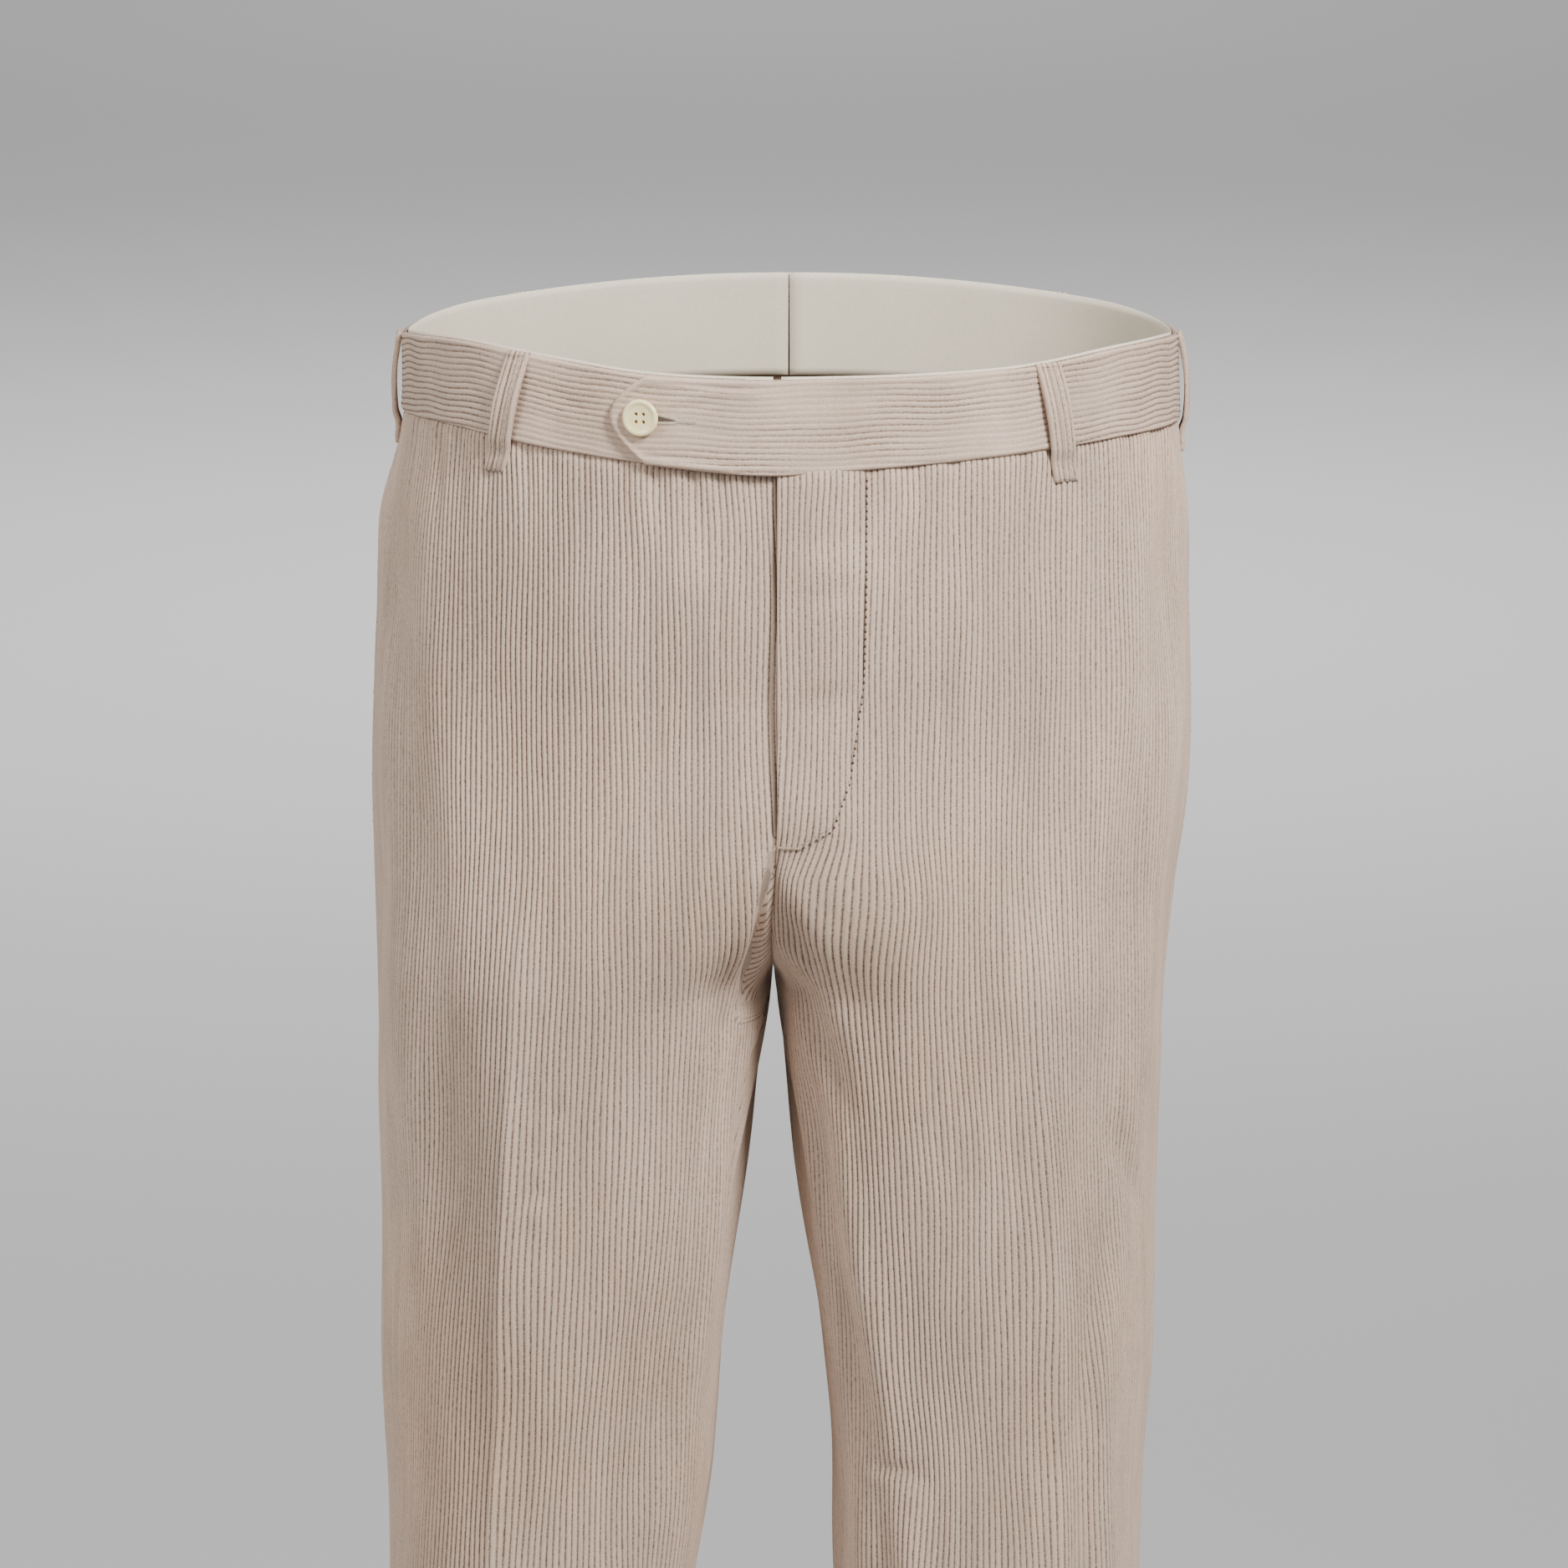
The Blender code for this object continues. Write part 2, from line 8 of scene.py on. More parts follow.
import bmesh
import bpy
import numpy as np
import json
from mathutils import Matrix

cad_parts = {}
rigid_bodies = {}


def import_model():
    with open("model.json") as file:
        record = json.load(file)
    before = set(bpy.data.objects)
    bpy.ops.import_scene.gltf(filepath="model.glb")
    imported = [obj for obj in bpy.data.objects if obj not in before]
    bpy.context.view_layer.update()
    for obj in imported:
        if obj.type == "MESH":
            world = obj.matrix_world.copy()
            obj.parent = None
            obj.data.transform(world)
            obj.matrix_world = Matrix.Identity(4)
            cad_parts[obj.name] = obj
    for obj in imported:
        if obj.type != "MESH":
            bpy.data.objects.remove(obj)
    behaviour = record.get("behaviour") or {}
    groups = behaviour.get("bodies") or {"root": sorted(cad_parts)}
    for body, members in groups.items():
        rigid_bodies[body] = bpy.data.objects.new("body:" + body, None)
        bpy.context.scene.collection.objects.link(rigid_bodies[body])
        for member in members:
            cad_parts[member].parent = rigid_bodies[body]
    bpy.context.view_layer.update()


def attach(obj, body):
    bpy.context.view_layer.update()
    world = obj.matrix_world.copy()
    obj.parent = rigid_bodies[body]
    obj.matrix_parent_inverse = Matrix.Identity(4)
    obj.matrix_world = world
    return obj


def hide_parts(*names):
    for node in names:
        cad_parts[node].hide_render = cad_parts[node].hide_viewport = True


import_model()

# ---------------------------------------------------------------------------
# The corduroy. A cotton cloth with ten soft cut-pile ribs, or wales, to the inch, dyed stone beige.
# Its pile is brushed up, so it has a dull sheen and blotches where the nap lies another way. Every
# piece of it carries a "cloth" attribute: wales counted across, metres along, and how worn smooth.

WALE = 0.00254
STONE = (0.600, 0.450, 0.352)
WARM_STONE = (0.590, 0.420, 0.304)
# The dark line between two wales is partly the pile's own darker colour in the groove and partly painted
# shade, the shade that falls into the groove.
GROOVE_PILE_AND_SHADE = (0.130, 0.088, 0.063)
REVERSE = (0.400, 0.302, 0.240)
WALE_LINE = 0.262  # half width of the dark line between two wales, as a share of a wale


def add_node(tree, kind, inputs=(), **settings):
    """A shader node with its settings, and its inputs given as values or as other nodes' sockets."""
    made = tree.nodes.new("ShaderNode" + kind)
    for setting, value in settings.items():
        setattr(made, setting, value)
    for socket, value in dict(inputs).items():
        if isinstance(value, bpy.types.NodeSocket):
            tree.links.new(value, made.inputs[socket])
        else:
            made.inputs[socket].default_value = value
    return made


def sum_of(tree, first, second):
    return add_node(tree, "Math", {0: first, 1: second}, operation="ADD").outputs[0]


def product(tree, first, second):
    return add_node(tree, "Math", {0: first, 1: second}, operation="MULTIPLY").outputs[0]


def spread(tree, value, low, high, to_low=0.0, to_high=1.0):
    """A value carried from one range to another, with soft ends."""
    inputs = {"Value": value, "From Min": low, "From Max": high, "To Min": to_low, "To Max": to_high}
    return add_node(tree, "MapRange", inputs, interpolation_type="SMOOTHSTEP").outputs["Result"]


def blend_colour(tree, share, first, second, how="MIX"):
    inputs = {0: share}
    for socket, colour in ((6, first), (7, second)):
        inputs[socket] = colour if isinstance(colour, bpy.types.NodeSocket) else (*colour, 1)
    return add_node(tree, "Mix", inputs, data_type="RGBA", blend_type=how).outputs[2]


def noise(tree, place, scale, detail=2.0, roughness=0.5):
    inputs = {"Vector": place, "Scale": scale, "Detail": detail, "Roughness": roughness}
    return add_node(tree, "TexNoise", inputs).outputs["Fac"]


def mottle(tree, place, scale, strength, detail=2.0, roughness=0.5):
    """Noise to either side of nothing."""
    return product(tree, sum_of(tree, noise(tree, place, scale, detail, roughness), -0.5), strength)


def stretched(tree, across, across_scale, along, along_scale):
    """A place on the flat cloth, drawn out to suit a texture."""
    inputs = {0: product(tree, across, across_scale), 1: product(tree, along, along_scale)}
    return add_node(tree, "CombineXYZ", inputs).outputs[0]


def place_on_cloth(tree):
    """The three numbers of the "cloth" attribute."""
    cloth = add_node(tree, "Attribute", attribute_name="cloth").outputs["Vector"]
    return add_node(tree, "SeparateXYZ", {0: cloth}).outputs


def dye(tree, shader, colour, tone):
    inputs = {0: colour, "Scale": tone}
    toned = add_node(tree, "VectorMath", inputs, operation="SCALE").outputs[0]
    tree.links.new(toned, shader.inputs["Base Color"])


def roughen(tree, shader, strength, distance, height):
    inputs = {"Strength": strength, "Distance": distance, "Height": height}
    tree.links.new(add_node(tree, "Bump", inputs).outputs[0], shader.inputs["Normal"])


def new_material(name, roughness, sheen, specular, sheen_tint=(1, 1, 1)):
    """A material, its tree and its shader, whose even values are set straight on its sockets."""
    made = bpy.data.materials.new(name)
    made.use_nodes = True
    tree = made.node_tree
    shader = tree.nodes["Principled BSDF"]
    shader.inputs["Roughness"].default_value = roughness
    shader.inputs["Sheen Weight"].default_value = sheen
    shader.inputs["Sheen Roughness"].default_value = 0.45
    shader.inputs["Sheen Tint"].default_value = (*sheen_tint, 1)
    shader.inputs["Specular IOR Level"].default_value = specular
    return made, tree, shader


def make_corduroy():
    made, tree, shader = new_material("corduroy", 0.9, 0.07, 0.10, (0.95, 0.86, 0.78))
    here = add_node(tree, "TexCoord").outputs["Object"]
    wales, along, worn = place_on_cloth(tree)

    # the dark line between wales, partly the pile's own darker colour and partly painted shade of the
    # groove, wavers, and is broken into beads by the pile
    wavering = sum_of(tree, wales, mottle(tree, here, 420.0, 0.22))
    from_line = add_node(tree, "Math", {0: wavering, 1: 0.5}, operation="PINGPONG").outputs[0]
    line = spread(tree, from_line, 0.015, WALE_LINE, 1.0, 0.0)
    bead_place = stretched(tree, wales, 0.7, along, 900.0)
    beads = spread(tree, noise(tree, bead_place, 1.0, 1.0), 0.30, 0.70, 0.56, 1.0)
    unworn = spread(tree, worn, 0.0, 1.0, 1.0, 0.12)
    line = product(tree, product(tree, line, beads), unworn)

    # tone: single wales, patches of brushed nap, warmer patches and the fuzz of the pile
    streak = mottle(tree, stretched(tree, wales, 0.8, along, 11.0), 1.0, 0.42)
    brushed = add_node(tree, "Mapping", {"Vector": here, "Scale": (1.0, 1.0, 0.45)}).outputs[0]
    patch = mottle(tree, brushed, 26.0, 0.58, 4.0, 0.65)
    fuzz = mottle(tree, here, 1500.0, 0.80, 3.0, 0.65)
    tone = sum_of(tree, sum_of(tree, sum_of(tree, streak, patch), fuzz), 1.0)
    warm = spread(tree, noise(tree, here, 7.0, 3.0), 0.45, 0.70, 0.0, 0.75)
    colour = blend_colour(tree, warm, STONE, WARM_STONE)
    # the dark groove lines: the pile's darker colour and painted groove shade together
    colour = blend_colour(tree, line, colour, GROOVE_PILE_AND_SHADE)
    colour = blend_colour(tree, spread(tree, worn, 1.2, 1.8), colour, REVERSE)
    dye(tree, shader, colour, tone)

    # pile: short tufts that lean along the wales
    tuft_place = stretched(tree, wales, 4.5, along, 1100.0)
    tufts = sum_of(tree, noise(tree, tuft_place, 1.0, 3.0, 0.6), noise(tree, here, 1900.0, 2.0))
    roughen(tree, shader, 0.55, 0.00035, tufts)
    return made


corduroy = make_corduroy()

# ---------------------------------------------------------------------------
# The two fronts and two backs. Each is cut in one piece from waist to hem, with its wales along the
# pressed crease, and sewn at the side, inside leg and centre seams. The left front's edge is folded
# and laps over the right one at the fly. The sections below are those of the frame's panels.

OUTLINE_COLUMNS = "z right_side right_inner left_inner left_side".split()
OUTLINE = (
    (0.020, -0.1650, -0.0050, -0.0050, 0.1650),
    (-0.040, -0.1665, -0.0050, -0.0050, 0.1672),
    (-0.072, -0.1745, -0.0050, -0.0050, 0.1705),
    (-0.120, -0.1778, -0.0050, -0.0050, 0.1726),
    (-0.168, -0.1796, -0.0050, -0.0050, 0.1734),
    (-0.205, -0.1798, -0.0055, -0.0055, 0.1712),
    (-0.237, -0.1790, -0.0075, -0.0075, 0.1670),
    (-0.270, -0.1782, -0.0070, -0.0064, 0.1632),
    (-0.329, -0.1772, -0.0165, 0.0020, 0.1598),
    (-0.383, -0.1762, -0.0232, 0.0080, 0.1588),
    (-0.435, -0.1752, -0.0285, 0.0145, 0.1570),
    (-0.486, -0.1745, -0.0340, 0.0208, 0.1545),
    (-0.543, -0.1745, -0.0425, 0.0210, 0.1526),
    (-0.620, -0.1740, -0.0475, 0.0225, 0.1500),
    (-0.850, -0.1710, -0.0580, 0.0320, 0.1450),
    (-1.070, -0.1670, -0.0620, 0.0360, 0.1410),
)
DEPTH_COLUMNS = "z front back side inner".split()
DEPTH = (
    (0.020, -0.1190, 0.1210, 0.006, -0.020),
    (-0.040, -0.1222, 0.1290, 0.008, -0.020),
    (-0.090, -0.1245, 0.1400, 0.010, -0.020),
    (-0.150, -0.1250, 0.1500, 0.012, -0.020),
    (-0.205, -0.1225, 0.1505, 0.012, -0.020),
    (-0.270, -0.1150, 0.1370, 0.008, -0.020),
    (-0.340, -0.1090, 0.1120, 0.004, -0.026),
    (-0.440, -0.1000, 0.0900, 0.000, -0.024),
    (-0.540, -0.0910, 0.0760, -0.004, -0.016),
    (-0.620, -0.0850, 0.0700, -0.006, -0.008),
    (-0.850, -0.0770, 0.0740, -0.001, -0.001),
    (-1.070, -0.0700, 0.0720, 0.001, 0.001),
)
TURN_COLUMNS = "z right_crease left_crease right_inseam left_inseam".split()
TURN = (
    (0.020, -0.1120, 0.1040, 22.0, 14.0),
    (-0.270, -0.1147, 0.1045, 22.0, 14.0),
    (-0.303, -0.1157, 0.1052, 22.0, 14.0),
    (-0.357, -0.1179, 0.1080, 22.0, 18.0),
    (-0.425, -0.1209, 0.1110, 12.0, 18.0),
    (-0.517, -0.1256, 0.1146, 10.0, 14.0),
    (-0.620, -0.1260, 0.1110, 8.0, 10.0),
    (-1.070, -0.1255, 0.1010, 4.0, 4.0),
)
# Waistband edges round the waist: 0 degrees is the centre front and 180 the centre back.
WAIST_COLUMNS = "degrees right_top left_top right_seam left_seam".split()
WAIST = (
    (0.0, -0.0010, -0.0010, -0.0408, -0.0408),
    (20.0, 0.0004, -0.0008, -0.0368, -0.0378),
    (32.0, 0.0042, 0.0002, -0.0338, -0.0358),
    (54.0, 0.0085, 0.0048, -0.0284, -0.0330),
    (72.0, 0.0062, 0.0046, -0.0288, -0.0338),
    (90.0, 0.0024, 0.0018, -0.0312, -0.0348),
    (130.0, 0.0050, 0.0050, -0.0320, -0.0335),
    (180.0, 0.0120, 0.0120, -0.0280, -0.0280),
)
CROTCH_Z = -0.270
HEM_Z = -1.070
LEGS_PART_FROM = -0.140
FORK_POWER = 1.5
FORK_SOFT = 0.10  # how gently the legs run together above the crotch
INSEAM_TURNS_OVER = 0.034
SEAT_SEAM_CENTRES = 0.060
SQUARENESS = 0.022
PANEL_TOP = -0.040
SEAM_EASES_FROM = -0.110
CREASE_HEIGHT = 0.0085
CREASE_REACH = 0.015
CREASE_FADES = (-0.200, -0.330)
FLY_EDGE_LIFT = 0.0027
FLY_WIDTH = 0.038
FLY_FADE = 0.018
FLY_BOTTOM = -0.198
FLY_ENDS_OVER = 0.010
FOLDED_EDGE = 0.0009  # radius of the fly's folded edge

DENSE = 721  # points that measure a section
COLUMNS_A_WALE = 4
WALE_RELIEF = 0.00085
WALE_ROUND = 0.65  # less than 1 makes the tops broad and the lines between them narrow
CLOTH_THICK = 0.0012
SEAM_SINK = 0.0011
SEAM_SOFT = 0.0012
FADE_TO_SEAM = 0.012  # of folds, so that both sides of a seam meet
FADE_TO_CENTRE = 0.003
UNDER_LAP = 0.0011  # how far the right front sinks beside the fly
TUCK_UNDER_BAND = 0.0012  # how far the panels run up behind the band, and how far they sink there
HEM_TURNING = 0.040


def smooth_column(table, columns, name, at, level_ends=False):
    """A smooth curve through one named column of a table, read at heights or angles."""
    rows = np.array(sorted(table))
    place = rows[:, 0]
    value = rows[:, columns.index(name)]
    slope = np.gradient(value, place)
    if level_ends:
        slope[[0, -1]] = 0
    at = np.clip(at, place[0], place[-1])
    k = np.clip(np.searchsorted(place, at) - 1, 0, len(place) - 2)
    step = place[k + 1] - place[k]
    t = (at - place[k]) / step
    start = (1 + 2 * t) * (1 - t) ** 2 * value[k] + t * (1 - t) ** 2 * step * slope[k]
    end = t * t * (3 - 2 * t) * value[k + 1] + t * t * (t - 1) * step * slope[k + 1]
    return start + end


def outline(name, z):
    return smooth_column(OUTLINE, OUTLINE_COLUMNS, name, z)


def depth(name, z):
    return smooth_column(DEPTH, DEPTH_COLUMNS, name, z)


def turn(name, z):
    return smooth_column(TURN, TURN_COLUMNS, name, z)


def waist_edge(name, degrees):
    return smooth_column(WAIST, WAIST_COLUMNS, name, degrees, level_ends=True)


def ease(t):
    """0 to 1 with level ends."""
    t = np.clip(t, 0, 1)
    return t * t * (3 - 2 * t)


def hump(from_middle, width):
    """1 in the middle, and smoothly less to either side."""
    return np.exp(-((from_middle / width) ** 2))


def rolled(edge, radius):
    """How far a rounded edge falls away, as a share of its radius."""
    turned = np.clip(1 - edge / radius, 0, 1)
    return 1 - np.sqrt(1 - turned**2)


def wale_section(wales):
    """The rounded section of the wales: 0 on their tops and -1 in the lines between them."""
    return np.abs(np.sin(np.pi * wales)) ** WALE_ROUND - 1


def tapered(share):
    """The strength of a fold along its length, which dies away at both ends."""
    return np.sin(np.pi * np.clip(share, 0.02, 0.98)) ** 0.8


def inner_x(side, face, z):
    """The centre seam above the crotch and the inside of the leg below it."""
    x = outline(side + "_inner", z)
    if face == "back":
        x = x * (1 - ease((z - CROTCH_Z) / SEAT_SEAM_CENTRES))
    return x


def across_oval(angle):
    """Share of an oval's width, from its inner end at 0 degrees to its outer end at 180."""
    rounded = np.cos(angle) - SQUARENESS * np.cos(3 * angle)
    return (1 - rounded / (1 - SQUARENESS)) / 2


def depth_of_oval(angle):
    return (np.sin(angle) + SQUARENESS * np.sin(3 * angle)) / (1 - SQUARENESS)


def section_points(side, face, z):
    """Points of one panel's face at heights z, from its inner edge to the side seam."""
    front = face == "front"
    z = z[:, None] + np.zeros(DENSE)
    turned = turn(side + "_inseam", z) * ease((CROTCH_Z - z) / INSEAM_TURNS_OVER)
    joined = np.clip((z - CROTCH_Z) / (LEGS_PART_FROM - CROTCH_Z), 0, 1)
    joined = joined * (1 - np.exp(-joined / FORK_SOFT))
    cut = np.degrees(np.arccos((1 - joined) ** FORK_POWER))
    first = cut + (turned if front else -turned)
    degrees = first + (180 - first) * np.linspace(0, 1, DENSE)
    angle = np.radians(degrees)
    round_waist = degrees - 90 if front else 270 - degrees
    lift = waist_edge(side + "_seam", round_waist) - PANEL_TOP
    z = z + lift * ease((z - SEAM_EASES_FROM) / (PANEL_TOP - SEAM_EASES_FROM))
    cut_share = across_oval(np.radians(cut))
    inside = inner_x(side, face, z)
    share = (across_oval(angle) - cut_share) / (1 - cut_share)
    x = inside + (outline(side + "_side", z) - inside) * share
    side_y = depth("side", z)
    inner_y = depth("inner", z)
    middle = inner_y + (side_y - inner_y) * (1 - np.cos(angle)) / 2
    bow = depth_of_oval(angle)
    ahead = bow >= 0 if front else bow < 0
    reach = np.where(ahead, depth("front", z), depth("back", z)) - (inner_y + side_y) / 2
    return np.stack([x, middle + reach * np.abs(bow), z], axis=-1)


def crease_x(side, face, z):
    """The front crease, and the back crease opposite it."""
    x = turn(side + "_crease", z)
    if face == "front":
        return x
    return inner_x(side, face, z) + outline(side + "_side", z) - x


def outward(grid):
    """Unit normals of a grid of points, on the side away from the body or the leg."""
    normal = np.cross(np.gradient(grid, axis=1), np.gradient(grid, axis=0))
    normal /= np.linalg.norm(normal, axis=2, keepdims=True)
    middle = grid.mean(axis=1, keepdims=True)
    faces_out = np.sum(normal * (grid - middle), axis=(1, 2)).mean() > 0
    return normal if faces_out else -normal


LEG_ROWS = 158
FORK_ROWS = 30
HIP_ROWS = 20


def panel_heights():
    """Heights of the rows, from the hem up, closer together where the crotch curve is steep."""
    leg = np.linspace(HEM_Z, CROTCH_Z - 0.003, LEG_ROWS + 1)
    quarter = np.cos(np.linspace(0, math.pi / 2, FORK_ROWS + 1))
    forked = LEGS_PART_FROM + (CROTCH_Z - LEGS_PART_FROM) * quarter ** (1 / FORK_POWER)
    hip = np.linspace(LEGS_PART_FROM, PANEL_TOP, HIP_ROWS + 1)[1:]
    behind_band = [PANEL_TOP + TUCK_UNDER_BAND]
    return np.concatenate([leg, forked, hip[:-1], [PANEL_TOP - 0.002], hip[-1:], behind_band])


# Folds worn into the panels, each along a line from one place to the next, as x and z. A width is
# that of its hollow, and a height is of its ridge, or of its hollow where it is less than nothing.
FOLDS = (
    # panel, x0, z0, x1, z1, width, height
    ("front_left", -0.003, -0.206, 0.020, -0.250, 0.0050, 0.0010),
    ("front_left", -0.005, -0.226, 0.016, -0.263, 0.0045, -0.0014),
    ("front_left", 0.003, -0.236, 0.026, -0.292, 0.0070, 0.0013),
    ("front_left", 0.000, -0.258, 0.024, -0.318, 0.0065, -0.0016),
    ("front_left", 0.006, -0.300, 0.020, -0.390, 0.0090, -0.0020),
    ("front_left", 0.022, -0.330, 0.046, -0.470, 0.0075, 0.0012),
    ("front_left", 0.016, -0.370, 0.036, -0.480, 0.0090, -0.0022),
    ("front_left", 0.036, -0.473, 0.062, -0.479, 0.0032, -0.0011),
    ("front_left", 0.046, -0.480, 0.052, -0.600, 0.0085, 0.0012),
    ("front_left", 0.038, -0.478, 0.042, -0.590, 0.0085, -0.0020),
    ("front_left", 0.128, -0.395, 0.121, -0.470, 0.0060, -0.0015),
    ("front_left", 0.121, -0.450, 0.118, -0.640, 0.0065, -0.0022),
    ("front_left", 0.133, -0.410, 0.129, -0.600, 0.0100, 0.0014),
    ("front_left", 0.135, -0.320, 0.152, -0.375, 0.0080, -0.0012),
    ("front_left", 0.140, -0.345, 0.128, -0.420, 0.0090, -0.0010),
    ("front_left", 0.030, -0.640, 0.100, -0.655, 0.0100, -0.0016),
    ("front_left", 0.060, -0.685, 0.125, -0.700, 0.0110, -0.0014),
    ("front_right", -0.103, -0.316, -0.093, -0.312, 0.0022, -0.0007),
    ("front_right", -0.114, -0.353, -0.099, -0.345, 0.0024, -0.0009),
    ("front_right", -0.110, -0.360, -0.101, -0.357, 0.0020, 0.0006),
    ("front_right", -0.050, -0.390, -0.066, -0.500, 0.0160, -0.0015),
    ("front_right", -0.064, -0.300, -0.074, -0.420, 0.0180, 0.0012),
    ("front_right", -0.010, -0.215, -0.034, -0.262, 0.0070, 0.0009),
    ("front_right", -0.012, -0.238, -0.032, -0.300, 0.0070, -0.0012),
    ("front_right", -0.026, -0.330, -0.040, -0.450, 0.0090, 0.0012),
    ("front_right", -0.150, -0.250, -0.148, -0.480, 0.0120, -0.0012),
    ("front_right", -0.060, -0.650, -0.130, -0.664, 0.0100, -0.0016),
    ("front_right", -0.075, -0.700, -0.150, -0.708, 0.0110, -0.0014),
    ("back_left", 0.010, -0.262, 0.075, -0.318, 0.0090, -0.0024),
    ("back_left", 0.016, -0.292, 0.090, -0.345, 0.0100, 0.0016),
    ("back_left", 0.024, -0.316, 0.100, -0.372, 0.0090, -0.0020),
    ("back_left", 0.045, -0.585, 0.125, -0.600, 0.0085, -0.0022),
    ("back_left", 0.060, -0.622, 0.140, -0.616, 0.0080, -0.0018),
    ("back_left", 0.040, -0.655, 0.110, -0.642, 0.0090, -0.0014),
    ("back_right", -0.012, -0.266, -0.080, -0.322, 0.0090, -0.0022),
    ("back_right", -0.022, -0.300, -0.098, -0.350, 0.0100, 0.0015),
    ("back_right", -0.030, -0.325, -0.112, -0.368, 0.0090, -0.0018),
    ("back_right", -0.070, -0.592, -0.150, -0.602, 0.0085, -0.0020),
    ("back_right", -0.060, -0.625, -0.135, -0.634, 0.0080, -0.0018),
    ("back_right", -0.085, -0.662, -0.155, -0.650, 0.0090, -0.0014),
)
# Slow swells of the cloth between its folds.
SWELLS = (
    # across, along, height, start
    (0.110, 0.520, 0.0011, 0.4),
    (-0.064, 0.310, 0.0008, 1.9),
    (0.047, -0.190, 0.0004, 2.7),
    (0.320, 0.140, 0.0008, 0.9),
)
FOLD_DEEPER = 1.7
PUCKERS = 15  # under the band on each panel
PUCKER_LENGTH = 0.022
PUCKER_WIDTH = (0.0026, 0.0058)
PUCKER_HEIGHT = (-0.0017, -0.0003)
FLY_STITCH = (
    (0.0327, -0.0406),
    (0.0321, -0.0761),
    (0.0311, -0.1286),
    (0.0280, -0.1494),
    (0.0259, -0.1671),
    (0.0183, -0.1884),
    (0.0047, -0.1962),
)
STITCH_GROOVE = 0.0016
STITCH_SINK = 0.0010
FLY_DENTS = (-0.068, -0.092, -0.135)
FLY_DENT = 0.0016


def along_line(s, z, path):
    """How far each point lies from a line of places, and how far along it, from 0 to 1."""
    path = np.array(path)
    lengths = np.linalg.norm(np.diff(path, axis=0), axis=1)
    total = lengths.sum()
    away = np.full(s.shape, np.inf)
    share = np.zeros(s.shape)
    before = 0.0
    for (s0, z0), (s1, z1), length in zip(path, path[1:], lengths):
        t = ((s - s0) * (s1 - s0) + (z - z0) * (z1 - z0)) / length**2
        held = np.clip(t, 0, 1)
        gap = np.hypot(s - s0 - held * (s1 - s0), z - z0 - held * (z1 - z0))
        nearer = gap < away
        away = np.where(nearer, gap, away)
        share = np.where(nearer, (before + held * length) / total, share)
        before += length
    return away, share


# Where the cloth is drawn aside by the crotch, so that its wales lean and bend.
DRIFTS = (
    # panel, x, z, wide, up, down, shift
    ("front_left", 0.012, -0.215, 0.016, 0.014, 0.050, -0.0060),
    ("front_left", 0.045, -0.222, 0.016, 0.020, 0.024, 0.0032),
    ("front_left", 0.004, -0.262, 0.022, 0.030, 0.060, -0.0060),
    ("front_left", 0.058, -0.340, 0.030, 0.060, 0.060, 0.0028),
    ("front_left", 0.050, -0.470, 0.020, 0.030, 0.030, 0.0022),
    ("front_right", -0.030, -0.300, 0.020, 0.060, 0.060, -0.0024),
    ("back_left", 0.020, -0.280, 0.040, 0.060, 0.060, -0.0070),
    ("back_right", -0.020, -0.280, 0.040, 0.060, 0.060, -0.0070),
)
WANDER = (
    # across, along, reach, start
    (0.090, 0.210, 0.00045, 0.3),
    (-0.050, 0.120, 0.00030, 2.1),
    (0.031, 0.075, 0.00018, 4.0),
)


def wale_drift(name, z, stops, from_crease, run, dense_x):
    """How far the wales lie to the side of where the cut alone would put them."""
    x = np.array([np.interp(stops[row], run[row], dense_x[row]) for row in range(len(run))])
    drift = np.zeros_like(stops)
    for panel, x0, z0, wide, up, down, shift in DRIFTS:
        if panel == name:
            tall = np.where(z > z0, up, down)
            drift += shift * hump(x - x0, wide) * hump(z - z0, tall)
    for across, along, reach, start in WANDER:
        drift += reach * np.sin(2 * np.pi * (from_crease / across + z / along) + start)
    return drift * ease((PANEL_TOP - z) / 0.02)


# Beside the crotch the right front folds back under the leg. Its wales run up to the seam there.
FORK_FOLD = ((-0.282, -0.0225), (-0.262, -0.0195), (-0.225, -0.0140), (-0.197, -0.0075))  # z and x
FORK_RIDGE = 0.0034
FORK_HOLLOW = 0.0036
FORK_LEAN = math.radians(38)


def fork_fold(x, z):
    """How far each point lies inside the fold, towards the seam, and how strong the fold is there."""
    levels, places = np.array(FORK_FOLD).T
    inside = x - np.interp(z, levels, places)
    strength = ease((levels[-1] - z) / 0.014) * ease((z - levels[0]) / 0.016)
    return inside, strength


def inner_end(line):
    """Where a section starts out from its inner edge, past the part that is turned under."""
    return int(np.argmin(line))


def folds_of(name, s, z, cloth_place):
    """The height of a panel's folds, ridges and hollows."""
    height_there = np.zeros_like(s)
    for panel, x0, z0, x1, z1, width, height in FOLDS:
        if panel == name:
            path = ((cloth_place(x0, z0), z0), (cloth_place(x1, z1), z1))
            away, share = along_line(s, z, path)
            q = away / width
            section = (1 - q * q / 3) * np.exp(-q * q / 2)
            height_there += FOLD_DEEPER * height * tapered(share) * section
    return height_there


def puckers_of(name, s, z, top):
    """Puckers that hang from the waist seam, uneven in width, depth and length."""
    height_there = np.zeros_like(s)
    chance = np.random.default_rng(len(name) * 7 + (5 if name.endswith("left") else 0))
    reach = s[-1, -1] - s[-1, 0]
    for place in np.linspace(0.03, 0.97, PUCKERS) + chance.uniform(-0.02, 0.02, PUCKERS):
        middle = s[-1, 0] + place * reach
        width = chance.uniform(*PUCKER_WIDTH)
        height = chance.uniform(*PUCKER_HEIGHT)
        length = PUCKER_LENGTH * chance.uniform(0.6, 1.6)
        lean = chance.uniform(-0.10, 0.10)
        down = np.clip(top - z, 0, None)
        q = (s - middle - lean * down) / width
        height_there += height * (1 - q * q / 2) * np.exp(-q * q / 2) * hump(down, length)
    return height_there


